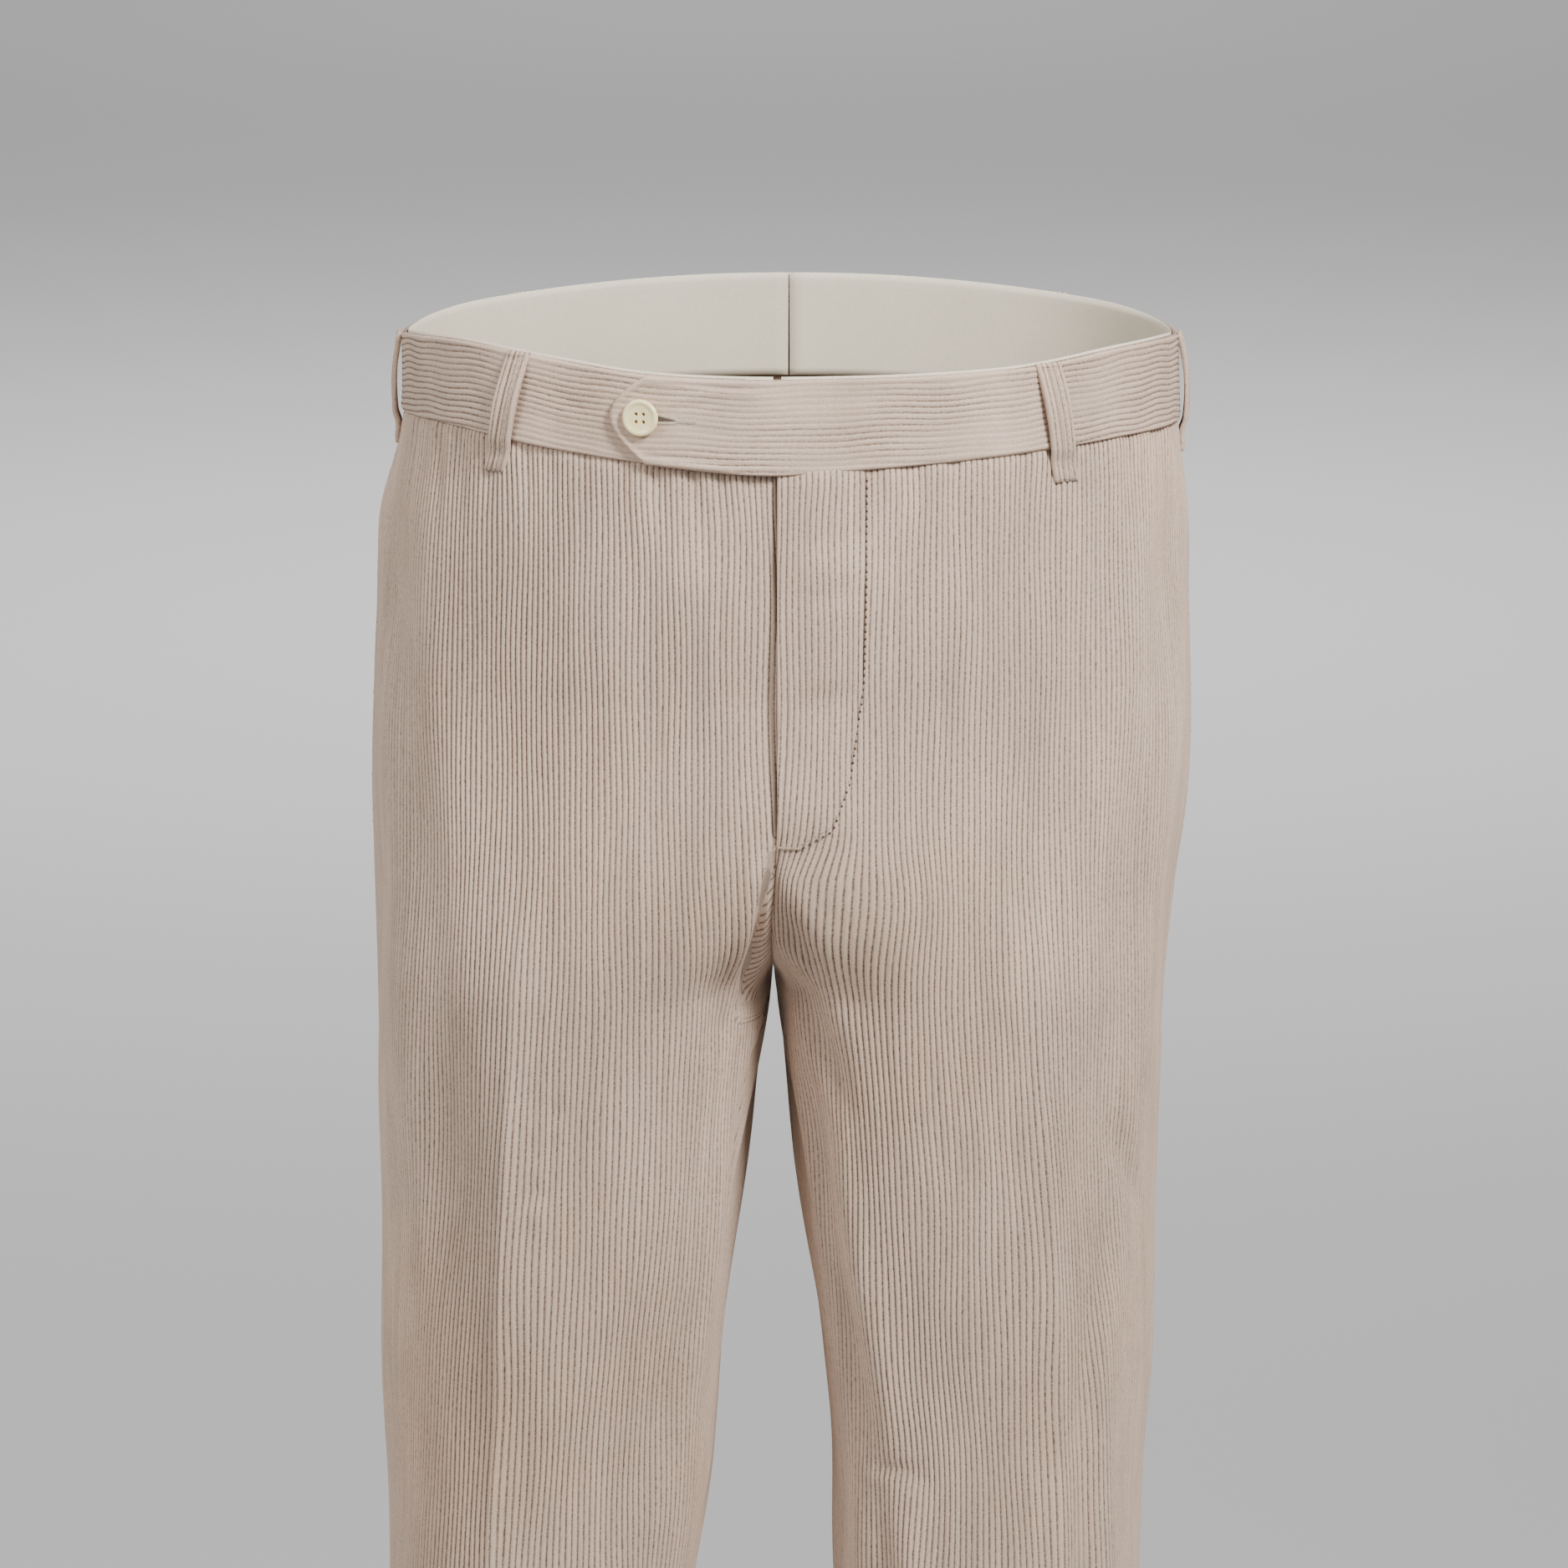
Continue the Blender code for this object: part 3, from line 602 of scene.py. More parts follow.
def fly_of(base, s, z, to_inner, cloth_place):
    """How far the left front rises and sinks at the fly, and how far down the fly is closed."""
    closed = ease((z - FLY_BOTTOM) / FLY_ENDS_OVER)
    from_edge = base[..., 0] - inner_x("left", "front", z)
    rise = FLY_EDGE_LIFT * ease((FLY_WIDTH - from_edge) / FLY_FADE) * closed
    sink = FOLDED_EDGE * 1.6 * rolled(to_inner, FOLDED_EDGE) * closed
    away, _ = along_line(s, z, [(cloth_place(x, level), level) for x, level in FLY_STITCH])
    sink += STITCH_SINK * hump(away, STITCH_GROOVE)
    for level in FLY_DENTS:
        bent = level + 0.10 * (from_edge - 0.020)
        sink += FLY_DENT * hump(z - bent, 0.0034) * hump(from_edge - 0.021, 0.013)
    return rise, sink, closed


def panel_surface(side, face):
    """A panel's fine outer face, its inner face, and where each point is on the flat cloth."""
    name = f"{face}_{side}"
    heights = panel_heights()
    dense = section_points(side, face, heights)
    steps = np.linalg.norm(np.diff(dense, axis=1), axis=2)
    run = np.concatenate([np.zeros((len(heights), 1)), np.cumsum(steps, axis=1)], axis=1)
    sign = 1 if side == "left" else -1
    creases = []
    for row, z in enumerate(heights):
        x = dense[row, :, 0] * sign
        start = inner_end(x)
        at = float(abs(crease_x(side, face, np.array(z))))
        creases.append(np.interp(at, x[start:], run[row, start:]))
    crease_run = np.array(creases)[:, None]
    end = run[:, -1:]
    step = WALE / COLUMNS_A_WALE
    first = math.floor(-crease_run.max() / step)
    last = math.ceil((end - crease_run).max() / step)
    stops = np.arange(first, last + 1) * step + crease_run
    level = heights[:, None] + 0 * stops
    drift = wale_drift(name, level, stops, stops - crease_run, run, dense[..., 0])
    to_inner = np.clip(stops + drift, 0, end)
    to_side = end - to_inner
    s = to_inner - crease_run

    both = np.concatenate([dense, outward(dense)], axis=2)
    read = [
        [np.interp(to_inner[row], run[row], both[row, :, axis]) for axis in range(6)]
        for row in range(len(heights))
    ]
    read = np.array(read).transpose(0, 2, 1)
    base = read[..., :3]
    normal = read[..., 3:]
    z = base[..., 2]

    def cloth_place(x, level):
        """Where x falls on the flat cloth at a height."""
        row = int(np.argmin(np.abs(heights - level)))
        line = base[row, :, 0] * sign
        start = inner_end(line)
        return float(np.interp(abs(x) if sign * x > 0 else sign * x, line[start:], s[row, start:]))

    # the pressed crease, then folds and swells, which die away at the seams
    fade = ease((CREASE_FADES[0] - z) / (CREASE_FADES[0] - CREASE_FADES[1]))
    rise = CREASE_HEIGHT * fade * np.exp(-np.abs(s) / CREASE_REACH)
    below = ease((CROTCH_Z + 0.020 - z) / 0.060) if face == "front" else 1
    fade_in = FADE_TO_CENTRE + (FADE_TO_SEAM - FADE_TO_CENTRE) * below
    free = ease(to_inner / fade_in) * ease(to_side / FADE_TO_SEAM)
    rise += free * folds_of(name, s, z, cloth_place)
    for across, along, height, start in SWELLS:
        below_band = ease((PANEL_TOP - z) / 0.05)
        rise += height * free * below_band * np.sin(2 * np.pi * (s / across + z / along) + start)
    rise += puckers_of(name, s, z, base[-1:, :, 2])

    # seams pull the edges in, the fly stands out, and the right front sinks beside it
    sink = SEAM_SINK * np.exp(-to_side / SEAM_SOFT)
    closed_fly = np.zeros_like(z)
    if name == "front_left":
        fly_rise, fly_sink, closed_fly = fly_of(base, s, z, to_inner, cloth_place)
        rise += fly_rise
        sink += fly_sink
    if name == "front_right":
        beside_fly = ease((z - FLY_BOTTOM) / FLY_ENDS_OVER)
        sink += UNDER_LAP * hump(to_inner, 0.0032) * beside_fly
    sink += SEAM_SINK * np.exp(-to_inner / SEAM_SOFT) * (1 - closed_fly)
    tucked = ease((heights - (PANEL_TOP - 0.003)) / 0.0035)[:, None]
    sink += TUCK_UNDER_BAND * tucked

    wales = (s - drift) / WALE
    relief = WALE_RELIEF * wale_section(wales)
    worn = np.zeros_like(s)
    if name == "front_right":
        inside, strength = fork_fold(base[..., 0], z)
        rise += FORK_RIDGE * strength * hump(inside + 0.0036, 0.0040)
        rise -= FORK_HOLLOW * strength * hump(inside - 0.0020, 0.0022)
        within = ease(inside / 0.0030) * ease(strength / 0.4)
        turned_wales = (s * math.cos(FORK_LEAN) + (z - CROTCH_Z) * math.sin(FORK_LEAN)) / WALE
        wales = wales + (turned_wales - wales) * within
        relief = relief * (1 - within)
        worn = 4 * within * (1 - within)

    # the centre seam stays closed: its edges move in, but not apart
    at_centre = hump(to_inner, 0.003) * ease((z - CROTCH_Z + 0.012) / 0.010)
    hem = ease((HEM_Z + HEM_TURNING - z) / 0.003) * CLOTH_THICK
    thick = (CLOTH_THICK + WALE_RELIEF * 0.6) * (1 - 0.6 * tucked) + hem
    faces = []
    for out in (rise - sink + relief * (1 - tucked), rise - sink - thick):
        shift = normal * out[..., None]
        shift[..., 0] *= 1 - at_centre
        faces.append(base + shift)
    return {
        "outer": faces[0],
        "normal": normal,
        "inner": faces[1],
        "s": s,
        "wales": wales,
        "worn": worn,
        "heights": heights,
        "cloth_place": cloth_place,
    }


INNER_COLUMN_EVERY = 16
REVERSE_SIDE = 2.0  # the worn value that marks the cloth's reverse
SQUARE_OUTER = 0.85  # share of the bake's width that the outer face takes
SQUARE_INNER_FROM = 0.87


def border(ids, s, levels):
    """The points round a grid, each with a number from 0 to 4 that says how far round it is."""
    rows, columns = ids.shape
    share = (s - s[:, :1]) / np.maximum(s[:, -1:] - s[:, :1], 1e-9)
    ring = [(ids[0, c], share[0, c]) for c in range(columns)]
    ring += [(ids[r, -1], 1 + levels[r]) for r in range(1, rows)]
    ring += [(ids[-1, c], 3 - share[-1, c]) for c in range(columns - 2, -1, -1)]
    ring += [(ids[r, 0], 4 - levels[r]) for r in range(rows - 2, 0, -1)]
    kept = [ring[0]]
    for point in ring[1:]:
        if point[0] != kept[-1][0]:
            kept.append(point)
    if kept[-1][0] == kept[0][0]:
        kept.pop()
    return kept


def merged_ids(s, offset):
    """Numbers of a grid's points. Columns cut off at an edge share the point on that edge."""
    rows, columns = s.shape
    ids = np.arange(rows * columns).reshape(rows, columns)
    for row in range(rows):
        at_start = int(np.searchsorted(s[row], s[row, 0] + 1e-7, side="right")) - 1
        at_end = int(np.searchsorted(s[row], s[row, -1] - 1e-7, side="left"))
        ids[row, :at_start] = ids[row, at_start]
        ids[row, at_end:] = ids[row, at_end]
    return ids + offset


def grid_faces(ids, flip):
    """Four- and three-cornered faces of a grid, without the ones whose corners fall together."""
    a, b = ids[:-1, :-1].ravel(), ids[:-1, 1:].ravel()
    c, d = ids[1:, 1:].ravel(), ids[1:, :-1].ravel()
    low = a == b
    high = c == d
    quads = np.stack([a, b, c, d], axis=1)[~low & ~high]
    up = np.stack([b, c, d], axis=1)[low & ~high]
    down = np.stack([a, b, c], axis=1)[high & ~low]
    faces = [f[:, ::-1] if flip else f for f in (quads, up, down)]
    return [tuple(int(v) for v in row) for f in faces for row in f]


def rim_faces(first, second, flip):
    """Triangles that join two rings of border points, going round both together."""
    faces = []
    i = j = 0
    while i < len(first) or j < len(second):
        here, there = first[i % len(first)], second[j % len(second)]
        next_here = first[(i + 1) % len(first)]
        next_there = second[(j + 1) % len(second)]
        at_here = next_here[1] + (4 if i + 1 >= len(first) else 0)
        at_there = next_there[1] + (4 if j + 1 >= len(second) else 0)
        if j >= len(second) or (i < len(first) and at_here <= at_there):
            face = (int(here[0]), int(there[0]), int(next_here[0]))
            i += 1
        else:
            face = (int(here[0]), int(there[0]), int(next_there[0]))
            j += 1
        faces.append(face[::-1] if flip else face)
    return faces


def cloth_values(wales, along, worn, worn_behind, picked):
    """The "cloth" attribute of a piece's face, then of the picked columns of its reverse."""
    face = np.stack([wales, along + 0 * wales, worn + 0 * wales], axis=-1)
    behind = np.stack([wales, along + 0 * wales, worn_behind + 0 * wales], axis=-1)[:, picked]
    return np.concatenate([face.reshape(-1, 3), behind.reshape(-1, 3)])


def every_column(s, every):
    """Numbers of a coarser choice of columns, with the last one always in it."""
    return np.unique(np.append(np.arange(0, s.shape[1], every), s.shape[1] - 1))


def closed_cloth(name, outer, inner, s_outer, s_inner, levels, cloth, finish, flip):
    """A closed piece of cloth: a fine face, a coarser reverse, and a rim that joins them."""
    sheets = ((s_outer, 0), (s_inner, outer.shape[0] * outer.shape[1]))
    ids = [merged_ids(s, offset) for s, offset in sheets]
    faces = grid_faces(ids[0], flip) + grid_faces(ids[1], not flip)
    faces += rim_faces(border(ids[0], s_outer, levels), border(ids[1], s_inner, levels), flip)

    points = np.concatenate([outer.reshape(-1, 3), inner.reshape(-1, 3)])
    used = np.zeros(len(points), bool)
    used[[v for face in faces for v in face]] = True
    renumber = np.cumsum(used) - 1
    data = bpy.data.meshes.new(name)
    data.from_pydata(points[used].tolist(), [], [[int(renumber[v]) for v in f] for f in faces])
    data.attributes.new("cloth", "FLOAT_VECTOR", "POINT")
    data.attributes["cloth"].data.foreach_set("vector", cloth[used].astype(np.float32).ravel())
    on_square = []
    for (s, _), low, high in zip(sheets, (0.0, SQUARE_INNER_FROM), (SQUARE_OUTER, 1.0)):
        across = (s - s.min()) / (s.max() - s.min())
        up = np.broadcast_to(levels[:, None], s.shape)
        on_square.append(np.stack([low + across * (high - low), up], axis=-1).reshape(-1, 2))
    on_square = np.concatenate(on_square)[used]
    corners = np.empty(len(data.loops), np.int32)
    data.loops.foreach_get("vertex_index", corners)
    layer = data.uv_layers.new(name="OFBake")
    layer.uv.foreach_set("vector", on_square[corners].astype(np.float32).ravel())
    data.materials.append(finish)
    data.shade_smooth()
    made = bpy.data.objects.new(name, data)
    bpy.context.collection.objects.link(made)
    return made


panels = {}
for side in ("left", "right"):
    for face in ("front", "back"):
        surface = panel_surface(side, face)
        panels[f"{face}_{side}"] = surface
        s = surface["s"]
        picked = every_column(s, INNER_COLUMN_EVERY)
        heights = surface["heights"]
        levels = (heights - heights[0]) / (heights[-1] - heights[0])
        outer = surface["outer"]
        inner = surface["inner"][:, picked]
        down = heights[:, None]
        cloth = cloth_values(surface["wales"], down, surface["worn"], REVERSE_SIDE, picked)
        flip = (side == "right") == (face == "front")
        name = f"cloth_{face}_{side}"
        piece = closed_cloth(
            name, outer, inner, s, s[:, picked], levels, cloth, corduroy, not flip
        )
        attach(piece, "root")
        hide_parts(f"{face}_{side}")
        widths = s[:, -1] - s[:, 0]
        length = PANEL_TOP - HEM_Z
        flat_area = float(np.trapz(widths, heights))

# ---------------------------------------------------------------------------
# The waistband. Two doubled strips of the cloth over a stiff interlining, their wales running round
# the waist, turned in along every edge. The left one runs on over the centre front as a tab with a
# rounded point, and laps over the right one. Wear has brushed its wales smooth at the front.

BAND_PROUD = 0.0010
BAND_THICK = 0.0022
BAND_LAPS = 0.0029
TAB_TIP_X = -0.0736
TAB_POINT = 0.0155
TAB_POWER = 1.8
TAB_RISES = (0.016, -0.010)
RIGHT_BAND_END_X = -0.018
BAND_WALES = 16
BAND_COLUMN = 1.35  # degrees between columns
TAB_ENDS = (0.0, 0.10, 0.24, 0.42, 0.66, 1.0, 1.45, 2.0)  # degrees in from the tab's edge
TURNED_EDGE = 0.0013
METRES_A_DEGREE = 0.0026
TAB_RIM = 0.0038
TAB_RIM_RISE = 0.00055
TAB_RIM_DIP = 0.0003
BRUSHED = 0.54
BAND_PUCKER_EVERY = 6.5  # degrees
SMOOTH_FROM = (86.0, 26.0)  # degrees, from clear wales to brushed ones

# Puckers that the button and the seam draw in the band, each from one place to another.
BAND_FOLDS = (
    # x0, z0, x1, z1, width, height
    (-0.0500, -0.0150, -0.0280, -0.0098, 0.0014, -0.0006),
    (-0.0520, -0.0120, -0.0330, -0.0060, 0.0016, 0.0005),
    (-0.0450, -0.0215, -0.0200, -0.0235, 0.0018, -0.0004),
    (-0.0380, -0.0145, -0.0080, -0.0140, 0.0016, -0.0003),
    (-0.0560, -0.0022, -0.0120, -0.0052, 0.0011, -0.0007),
    (-0.0470, -0.0048, -0.0060, -0.0072, 0.0012, 0.0005),
    (0.0080, -0.0100, 0.0500, -0.0075, 0.0030, -0.0004),
    (0.0200, -0.0290, 0.0750, -0.0240, 0.0034, -0.0004),
    (-0.1010, -0.0060, -0.0860, -0.0170, 0.0030, -0.0005),
    (-0.1360, -0.0050, -0.1230, -0.0240, 0.0036, -0.0005),
    (0.1150, -0.0050, 0.1280, -0.0250, 0.0036, -0.0005),
    (0.0860, -0.0060, 0.0960, -0.0200, 0.0030, 0.0004),
)


def waist_point(side, degrees, z, out):
    """Points on the ring of the waist, moved out level. 0 degrees is the centre front."""
    front = degrees <= 90
    angle = np.radians(np.where(front, 90 + degrees, 270 - degrees))
    start = np.where(front, inner_x(side, "front", z), inner_x(side, "back", z))
    width = outline(side + "_side", z) - start
    side_y = depth("side", z)
    inner_y = depth("inner", z)
    reach = np.where(front, depth("front", z), depth("back", z)) - (inner_y + side_y) / 2
    x = start + width * (2 * across_oval(angle) - 1)
    y = inner_y + (side_y - inner_y) * (1 - np.cos(angle)) / 2 + reach * depth_of_oval(angle)
    along_x = width * np.sin(angle)
    along_y = reach * np.cos(angle) + (side_y - inner_y) * np.sin(angle) / 2
    length = np.hypot(along_x, along_y)
    outside = -np.sign(width) * np.sign(reach)
    x = x + out * outside * along_y / length
    y = y - out * outside * along_x / length
    return np.stack([x, y, z + 0 * x], axis=-1)


def ring_point(degrees, z, out):
    """The same for signed degrees, which are less than 0 on the wearer's right."""
    turned = np.abs(degrees)
    right = waist_point("right", turned, z, out)
    left = waist_point("left", turned, z, out)
    return np.where((degrees < 0)[..., None], right, left)


def ring_edge(edge, degrees):
    turned = np.abs(degrees)
    right = waist_edge("right_" + edge, turned)
    return np.where(degrees < 0, right, waist_edge("left_" + edge, turned))


def degrees_at(x):
    """The signed angle round the front of the waist at which the ring reaches x."""
    degrees = np.linspace(-90, 90, DENSE)
    places = ring_point(degrees, PANEL_TOP / 2 + 0 * degrees, 0 * degrees)[:, 0]
    return float(np.interp(x, places, degrees))


def tab_lift(degrees):
    """How far the left band is lifted where it laps over the right one."""
    x = ring_point(degrees, PANEL_TOP / 2 + 0 * degrees, 0 * degrees)[..., 0]
    lapping = ease((TAB_RISES[0] - x) / (TAB_RISES[0] - TAB_RISES[1]))
    return BAND_LAPS * np.where(np.abs(degrees) < 90, lapping, 0)


def band_cloth(name, node, degrees, levels, from_end, lapped):
    """A band's cloth over its columns of angles, one row of angles for each level."""
    low = ring_edge("seam", degrees)
    top = ring_edge("top", degrees)
    z = low + (top - low) * levels[:, None]
    below_top = top - z
    to_edge = np.minimum(below_top, z - low)
    edge = np.minimum(to_edge, from_end)
    brushed = ease((SMOOTH_FROM[0] - np.abs(degrees)) / (SMOOTH_FROM[0] - SMOOTH_FROM[1]))
    blotches = 0.24 * np.sin(below_top / 0.0065 + degrees / 9.0) + 0.16 * np.sin(degrees / 3.7)
    blotches += 0.14 * np.sin(below_top / 0.004 - degrees / 5.1)
    worn = np.clip(brushed * (BRUSHED + blotches), 0, 1)
    over_band = tab_lift(degrees) if lapped else 0 * degrees
    lift = over_band
    if lapped:
        on_tab = ease(-degrees / 6.0)
        near = np.minimum(from_end, to_edge + 0.020 * (1 - on_tab))
        lift = lift + TAB_RIM_RISE * hump(near - 0.0021, 0.0013) * on_tab
        lift = lift - TAB_RIM_DIP * hump(near - 0.0046, 0.0007) * on_tab
        worn = np.maximum(worn, ease((TAB_RIM - near) / 0.0012) * on_tab)
    wobble = 0.16 * np.sin(degrees / 4.4 + z / 0.012) + 0.12 * np.sin(degrees / 2.1 - z / 0.021)
    wales = below_top / WALE + wobble * ease(edge / 0.004)
    relief = WALE_RELIEF * 0.9 * wale_section(wales) * (1 - 0.6 * worn)
    place = ring_point(degrees, z, 0 * z)
    at_front = np.where(place[..., 1] < 0, 1, 0)
    for x0, z0, x1, z1, width, height in BAND_FOLDS:
        away, share = along_line(place[..., 0], z, ((x0, z0), (x1, z1)))
        lift = lift + at_front * height * tapered(share) * hump(away, width)
    chance = np.random.default_rng(len(name))
    for at in np.arange(-178.0, 178.0, BAND_PUCKER_EVERY):
        at = at + chance.uniform(-2.5, 2.5)
        height = chance.uniform(-0.0005, 0.0003)
        tall = chance.uniform(0.4, 1.0)
        lift = lift + height * hump(degrees - at, 1.7) * hump(levels[:, None], tall)
    out = BAND_PROUD + lift + relief - TURNED_EDGE * rolled(edge, TURNED_EDGE)
    outer = ring_point(degrees, z, out)
    inside = ring_point(degrees, z, BAND_PROUD - BAND_THICK + over_band + 0 * z)
    around = degrees * METRES_A_DEGREE
    picked = every_column(around, 3)
    cloth = cloth_values(wales, around, worn, REVERSE_SIDE, picked)
    piece = closed_cloth(
        name, outer, inside[:, picked], around, around[:, picked], levels, cloth, corduroy, False
    )
    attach(piece, "root")
    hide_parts(node)


band_levels = np.linspace(0, 1, BAND_WALES * COLUMNS_A_WALE + 1)
tab_tip = degrees_at(TAB_TIP_X)
tab_shoulder = degrees_at(TAB_TIP_X + TAB_POINT)
tab_start = tab_tip + (tab_shoulder - tab_tip) * np.abs(2 * band_levels - 1) ** TAB_POWER
even = np.concatenate(
    [tab_tip + np.array(TAB_ENDS), np.arange(tab_tip + 2.7, 180 - BAND_COLUMN, BAND_COLUMN), [180.0]]
)
blended = np.clip((tab_tip + 12.0 - even) / 12.0, 0, 1)
left_degrees = even[None, :] + (tab_start - tab_tip)[:, None] * blended[None, :]
from_tab = (left_degrees - tab_start[:, None]) * METRES_A_DEGREE
band_cloth(
    "band_left", "waistband_left", left_degrees, band_levels, from_tab, True
)
right_end = degrees_at(RIGHT_BAND_END_X)
right_row = np.append(np.arange(-180.0, right_end, BAND_COLUMN), right_end)
right_degrees = np.broadcast_to(right_row, (len(band_levels), len(right_row)))
band_cloth(
    "band_right",
    "waistband_right",
    right_degrees,
    band_levels,
    np.full(right_degrees.shape, 1.0),
    False,
)

# ---------------------------------------------------------------------------
# The waistband facing. Plain cream cotton twill, sewn along the top of the band, where a thin edge
# of it shows, and hanging free behind it. It is seen through the open waist.

FACING_FROM = 0.6
FACING_BEHIND = 0.0029
FACING_THICK = 0.0009
FACING_LEAN = 0.0022
FACING_BELOW = 0.005
FACING_SHOWS = 0.0008
FACING_ROWS = 14
FACING_COLUMNS = 90
TWILL = 0.0009
CREAM = (0.740, 0.665, 0.520)


def make_cream_twill():
    made, tree, shader = new_material("cream_twill", 0.85, 0.10, 0.2)
    up, along, _ = place_on_cloth(tree)
    diagonal = sum_of(tree, up, along)
    ribs = add_node(tree, "Math", {0: diagonal, 1: 0.5}, operation="PINGPONG").outputs[0]
    here = add_node(tree, "TexCoord").outputs["Object"]
    uneven = sum_of(tree, mottle(tree, here, 900.0, 0.20, 3.0), mottle(tree, here, 30.0, 0.12, 3.0))
    dye(tree, shader, CREAM, sum_of(tree, uneven, spread(tree, ribs, 0.0, 0.5, 0.90, 1.03)))
    roughen(tree, shader, 0.4, 0.0002, ribs)
    return made


cream_twill = make_cream_twill()
facing_levels = np.linspace(0, 1, FACING_ROWS + 1)
for side, sign in (("left", 1), ("right", -1)):
    row = sign * np.linspace(FACING_FROM, 180.0, FACING_COLUMNS)
    degrees = np.broadcast_to(row, (len(facing_levels), len(row)))
    low = ring_edge("seam", degrees) - FACING_BELOW
    top = ring_edge("top", degrees) + FACING_SHOWS
    z = low + (top - low) * facing_levels[:, None]
    ripple = 0.0004 * np.sin(degrees / 5.0) * (1 - facing_levels[:, None])
    out = BAND_PROUD - FACING_BEHIND - FACING_LEAN * (1 - facing_levels[:, None]) + ripple
    round_top = 0.0004 * ease((facing_levels[:, None] - 0.93) / 0.07)
    outer = ring_point(degrees, z, out - round_top)
    inside = ring_point(degrees, z, out - FACING_THICK + round_top)
    around = np.abs(degrees) * METRES_A_DEGREE
    weave = cloth_values(z / TWILL, around / TWILL, 0, 0, every_column(z, 1))
    piece = closed_cloth(
        f"facing_cloth_{side}",
        outer,
        inside,
        around,
        around,
        facing_levels,
        weave,
        cream_twill,
        side == "right",
    )
    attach(piece, "root")
    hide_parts(f"facing_{side}")

# ---------------------------------------------------------------------------
# Seven belt loops. Each is a strip of the cloth folded in three and stitched down its length twice,
# caught in the top edge of the band, bowed off it, and stitched flat again below the waist seam.

LOOP_WIDTH = 0.0118
LOOP_THICK = 0.0023
LOOP_BOWS = 0.0026
LOOP_BELOW = 0.0145
LOOP_ROWS = 36
LOOP_ACROSS = 21
LOOP_EDGE = 0.0012
LOOP_WORN = 0.25
LOOP_THREAD = 0.00022
LOOP_ROWS_OF_STITCHES = (-0.0012, 0.0024)  # from the middle of the loop
LOOPS = (
    # name, degrees at the top, degrees at the bottom
    ("loop_front_right", -39.6, -44.4),
    ("loop_front_left", 38.8, 41.9),
    ("loop_side_right", -88.0, -90.0),
    ("loop_side_left", 88.0, 90.0),
    ("loop_back_right", -138.0, -138.0),
    ("loop_back_left", 138.0, 138.0),
    ("loop_back_centre", 180.0, 180.0),
)


def make_thread(name, colour):
    made, tree, shader = new_material(name, 0.7, 0.15, 0.3)
    here = add_node(tree, "TexCoord").outputs["Object"]
    dye(tree, shader, colour, spread(tree, noise(tree, here, 1600.0, 2.0), 0.3, 0.7, 0.82, 1.12))
    return made


def sew(name, starts, ends, outwards, thick, finish, slot):
    """Stitches as one piece. Each is a rounded length of thread from its start to its end."""
    points = []
    faces = []
    rings = ((0.0, 0.15), (0.12, 0.75), (0.5, 1.0), (0.88, 0.75), (1.0, 0.15))
    sides = 6
    for start, end, away in zip(starts, ends, outwards):
        start, end = np.array(start), np.array(end)
        along = end - start
        across = np.cross(along, away)
        across /= np.linalg.norm(across)
        up = np.cross(across, along)
        up /= np.linalg.norm(up)
        base = len(points)
        for share, girth in rings:
            for k in range(sides):
                angle = 2 * math.pi * k / sides
                round_it = across * math.cos(angle) + up * math.sin(angle)
                points.append(start + along * share + round_it * thick * girth)
        for r in range(len(rings) - 1):
            for k in range(sides):
                a, b = base + r * sides + k, base + r * sides + (k + 1) % sides
                faces.append((a, b, b + sides, a + sides))
        faces.append(tuple(base + k for k in reversed(range(sides))))
        faces.append(tuple(base + (len(rings) - 1) * sides + k for k in range(sides)))
    data = bpy.data.meshes.new(name)
    data.from_pydata([list(p) for p in points], [], faces)
    data.materials.append(finish)
    data.shade_smooth()
    made = bpy.data.objects.new(name, data)
    bpy.context.collection.objects.link(made)
    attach(made, "root")


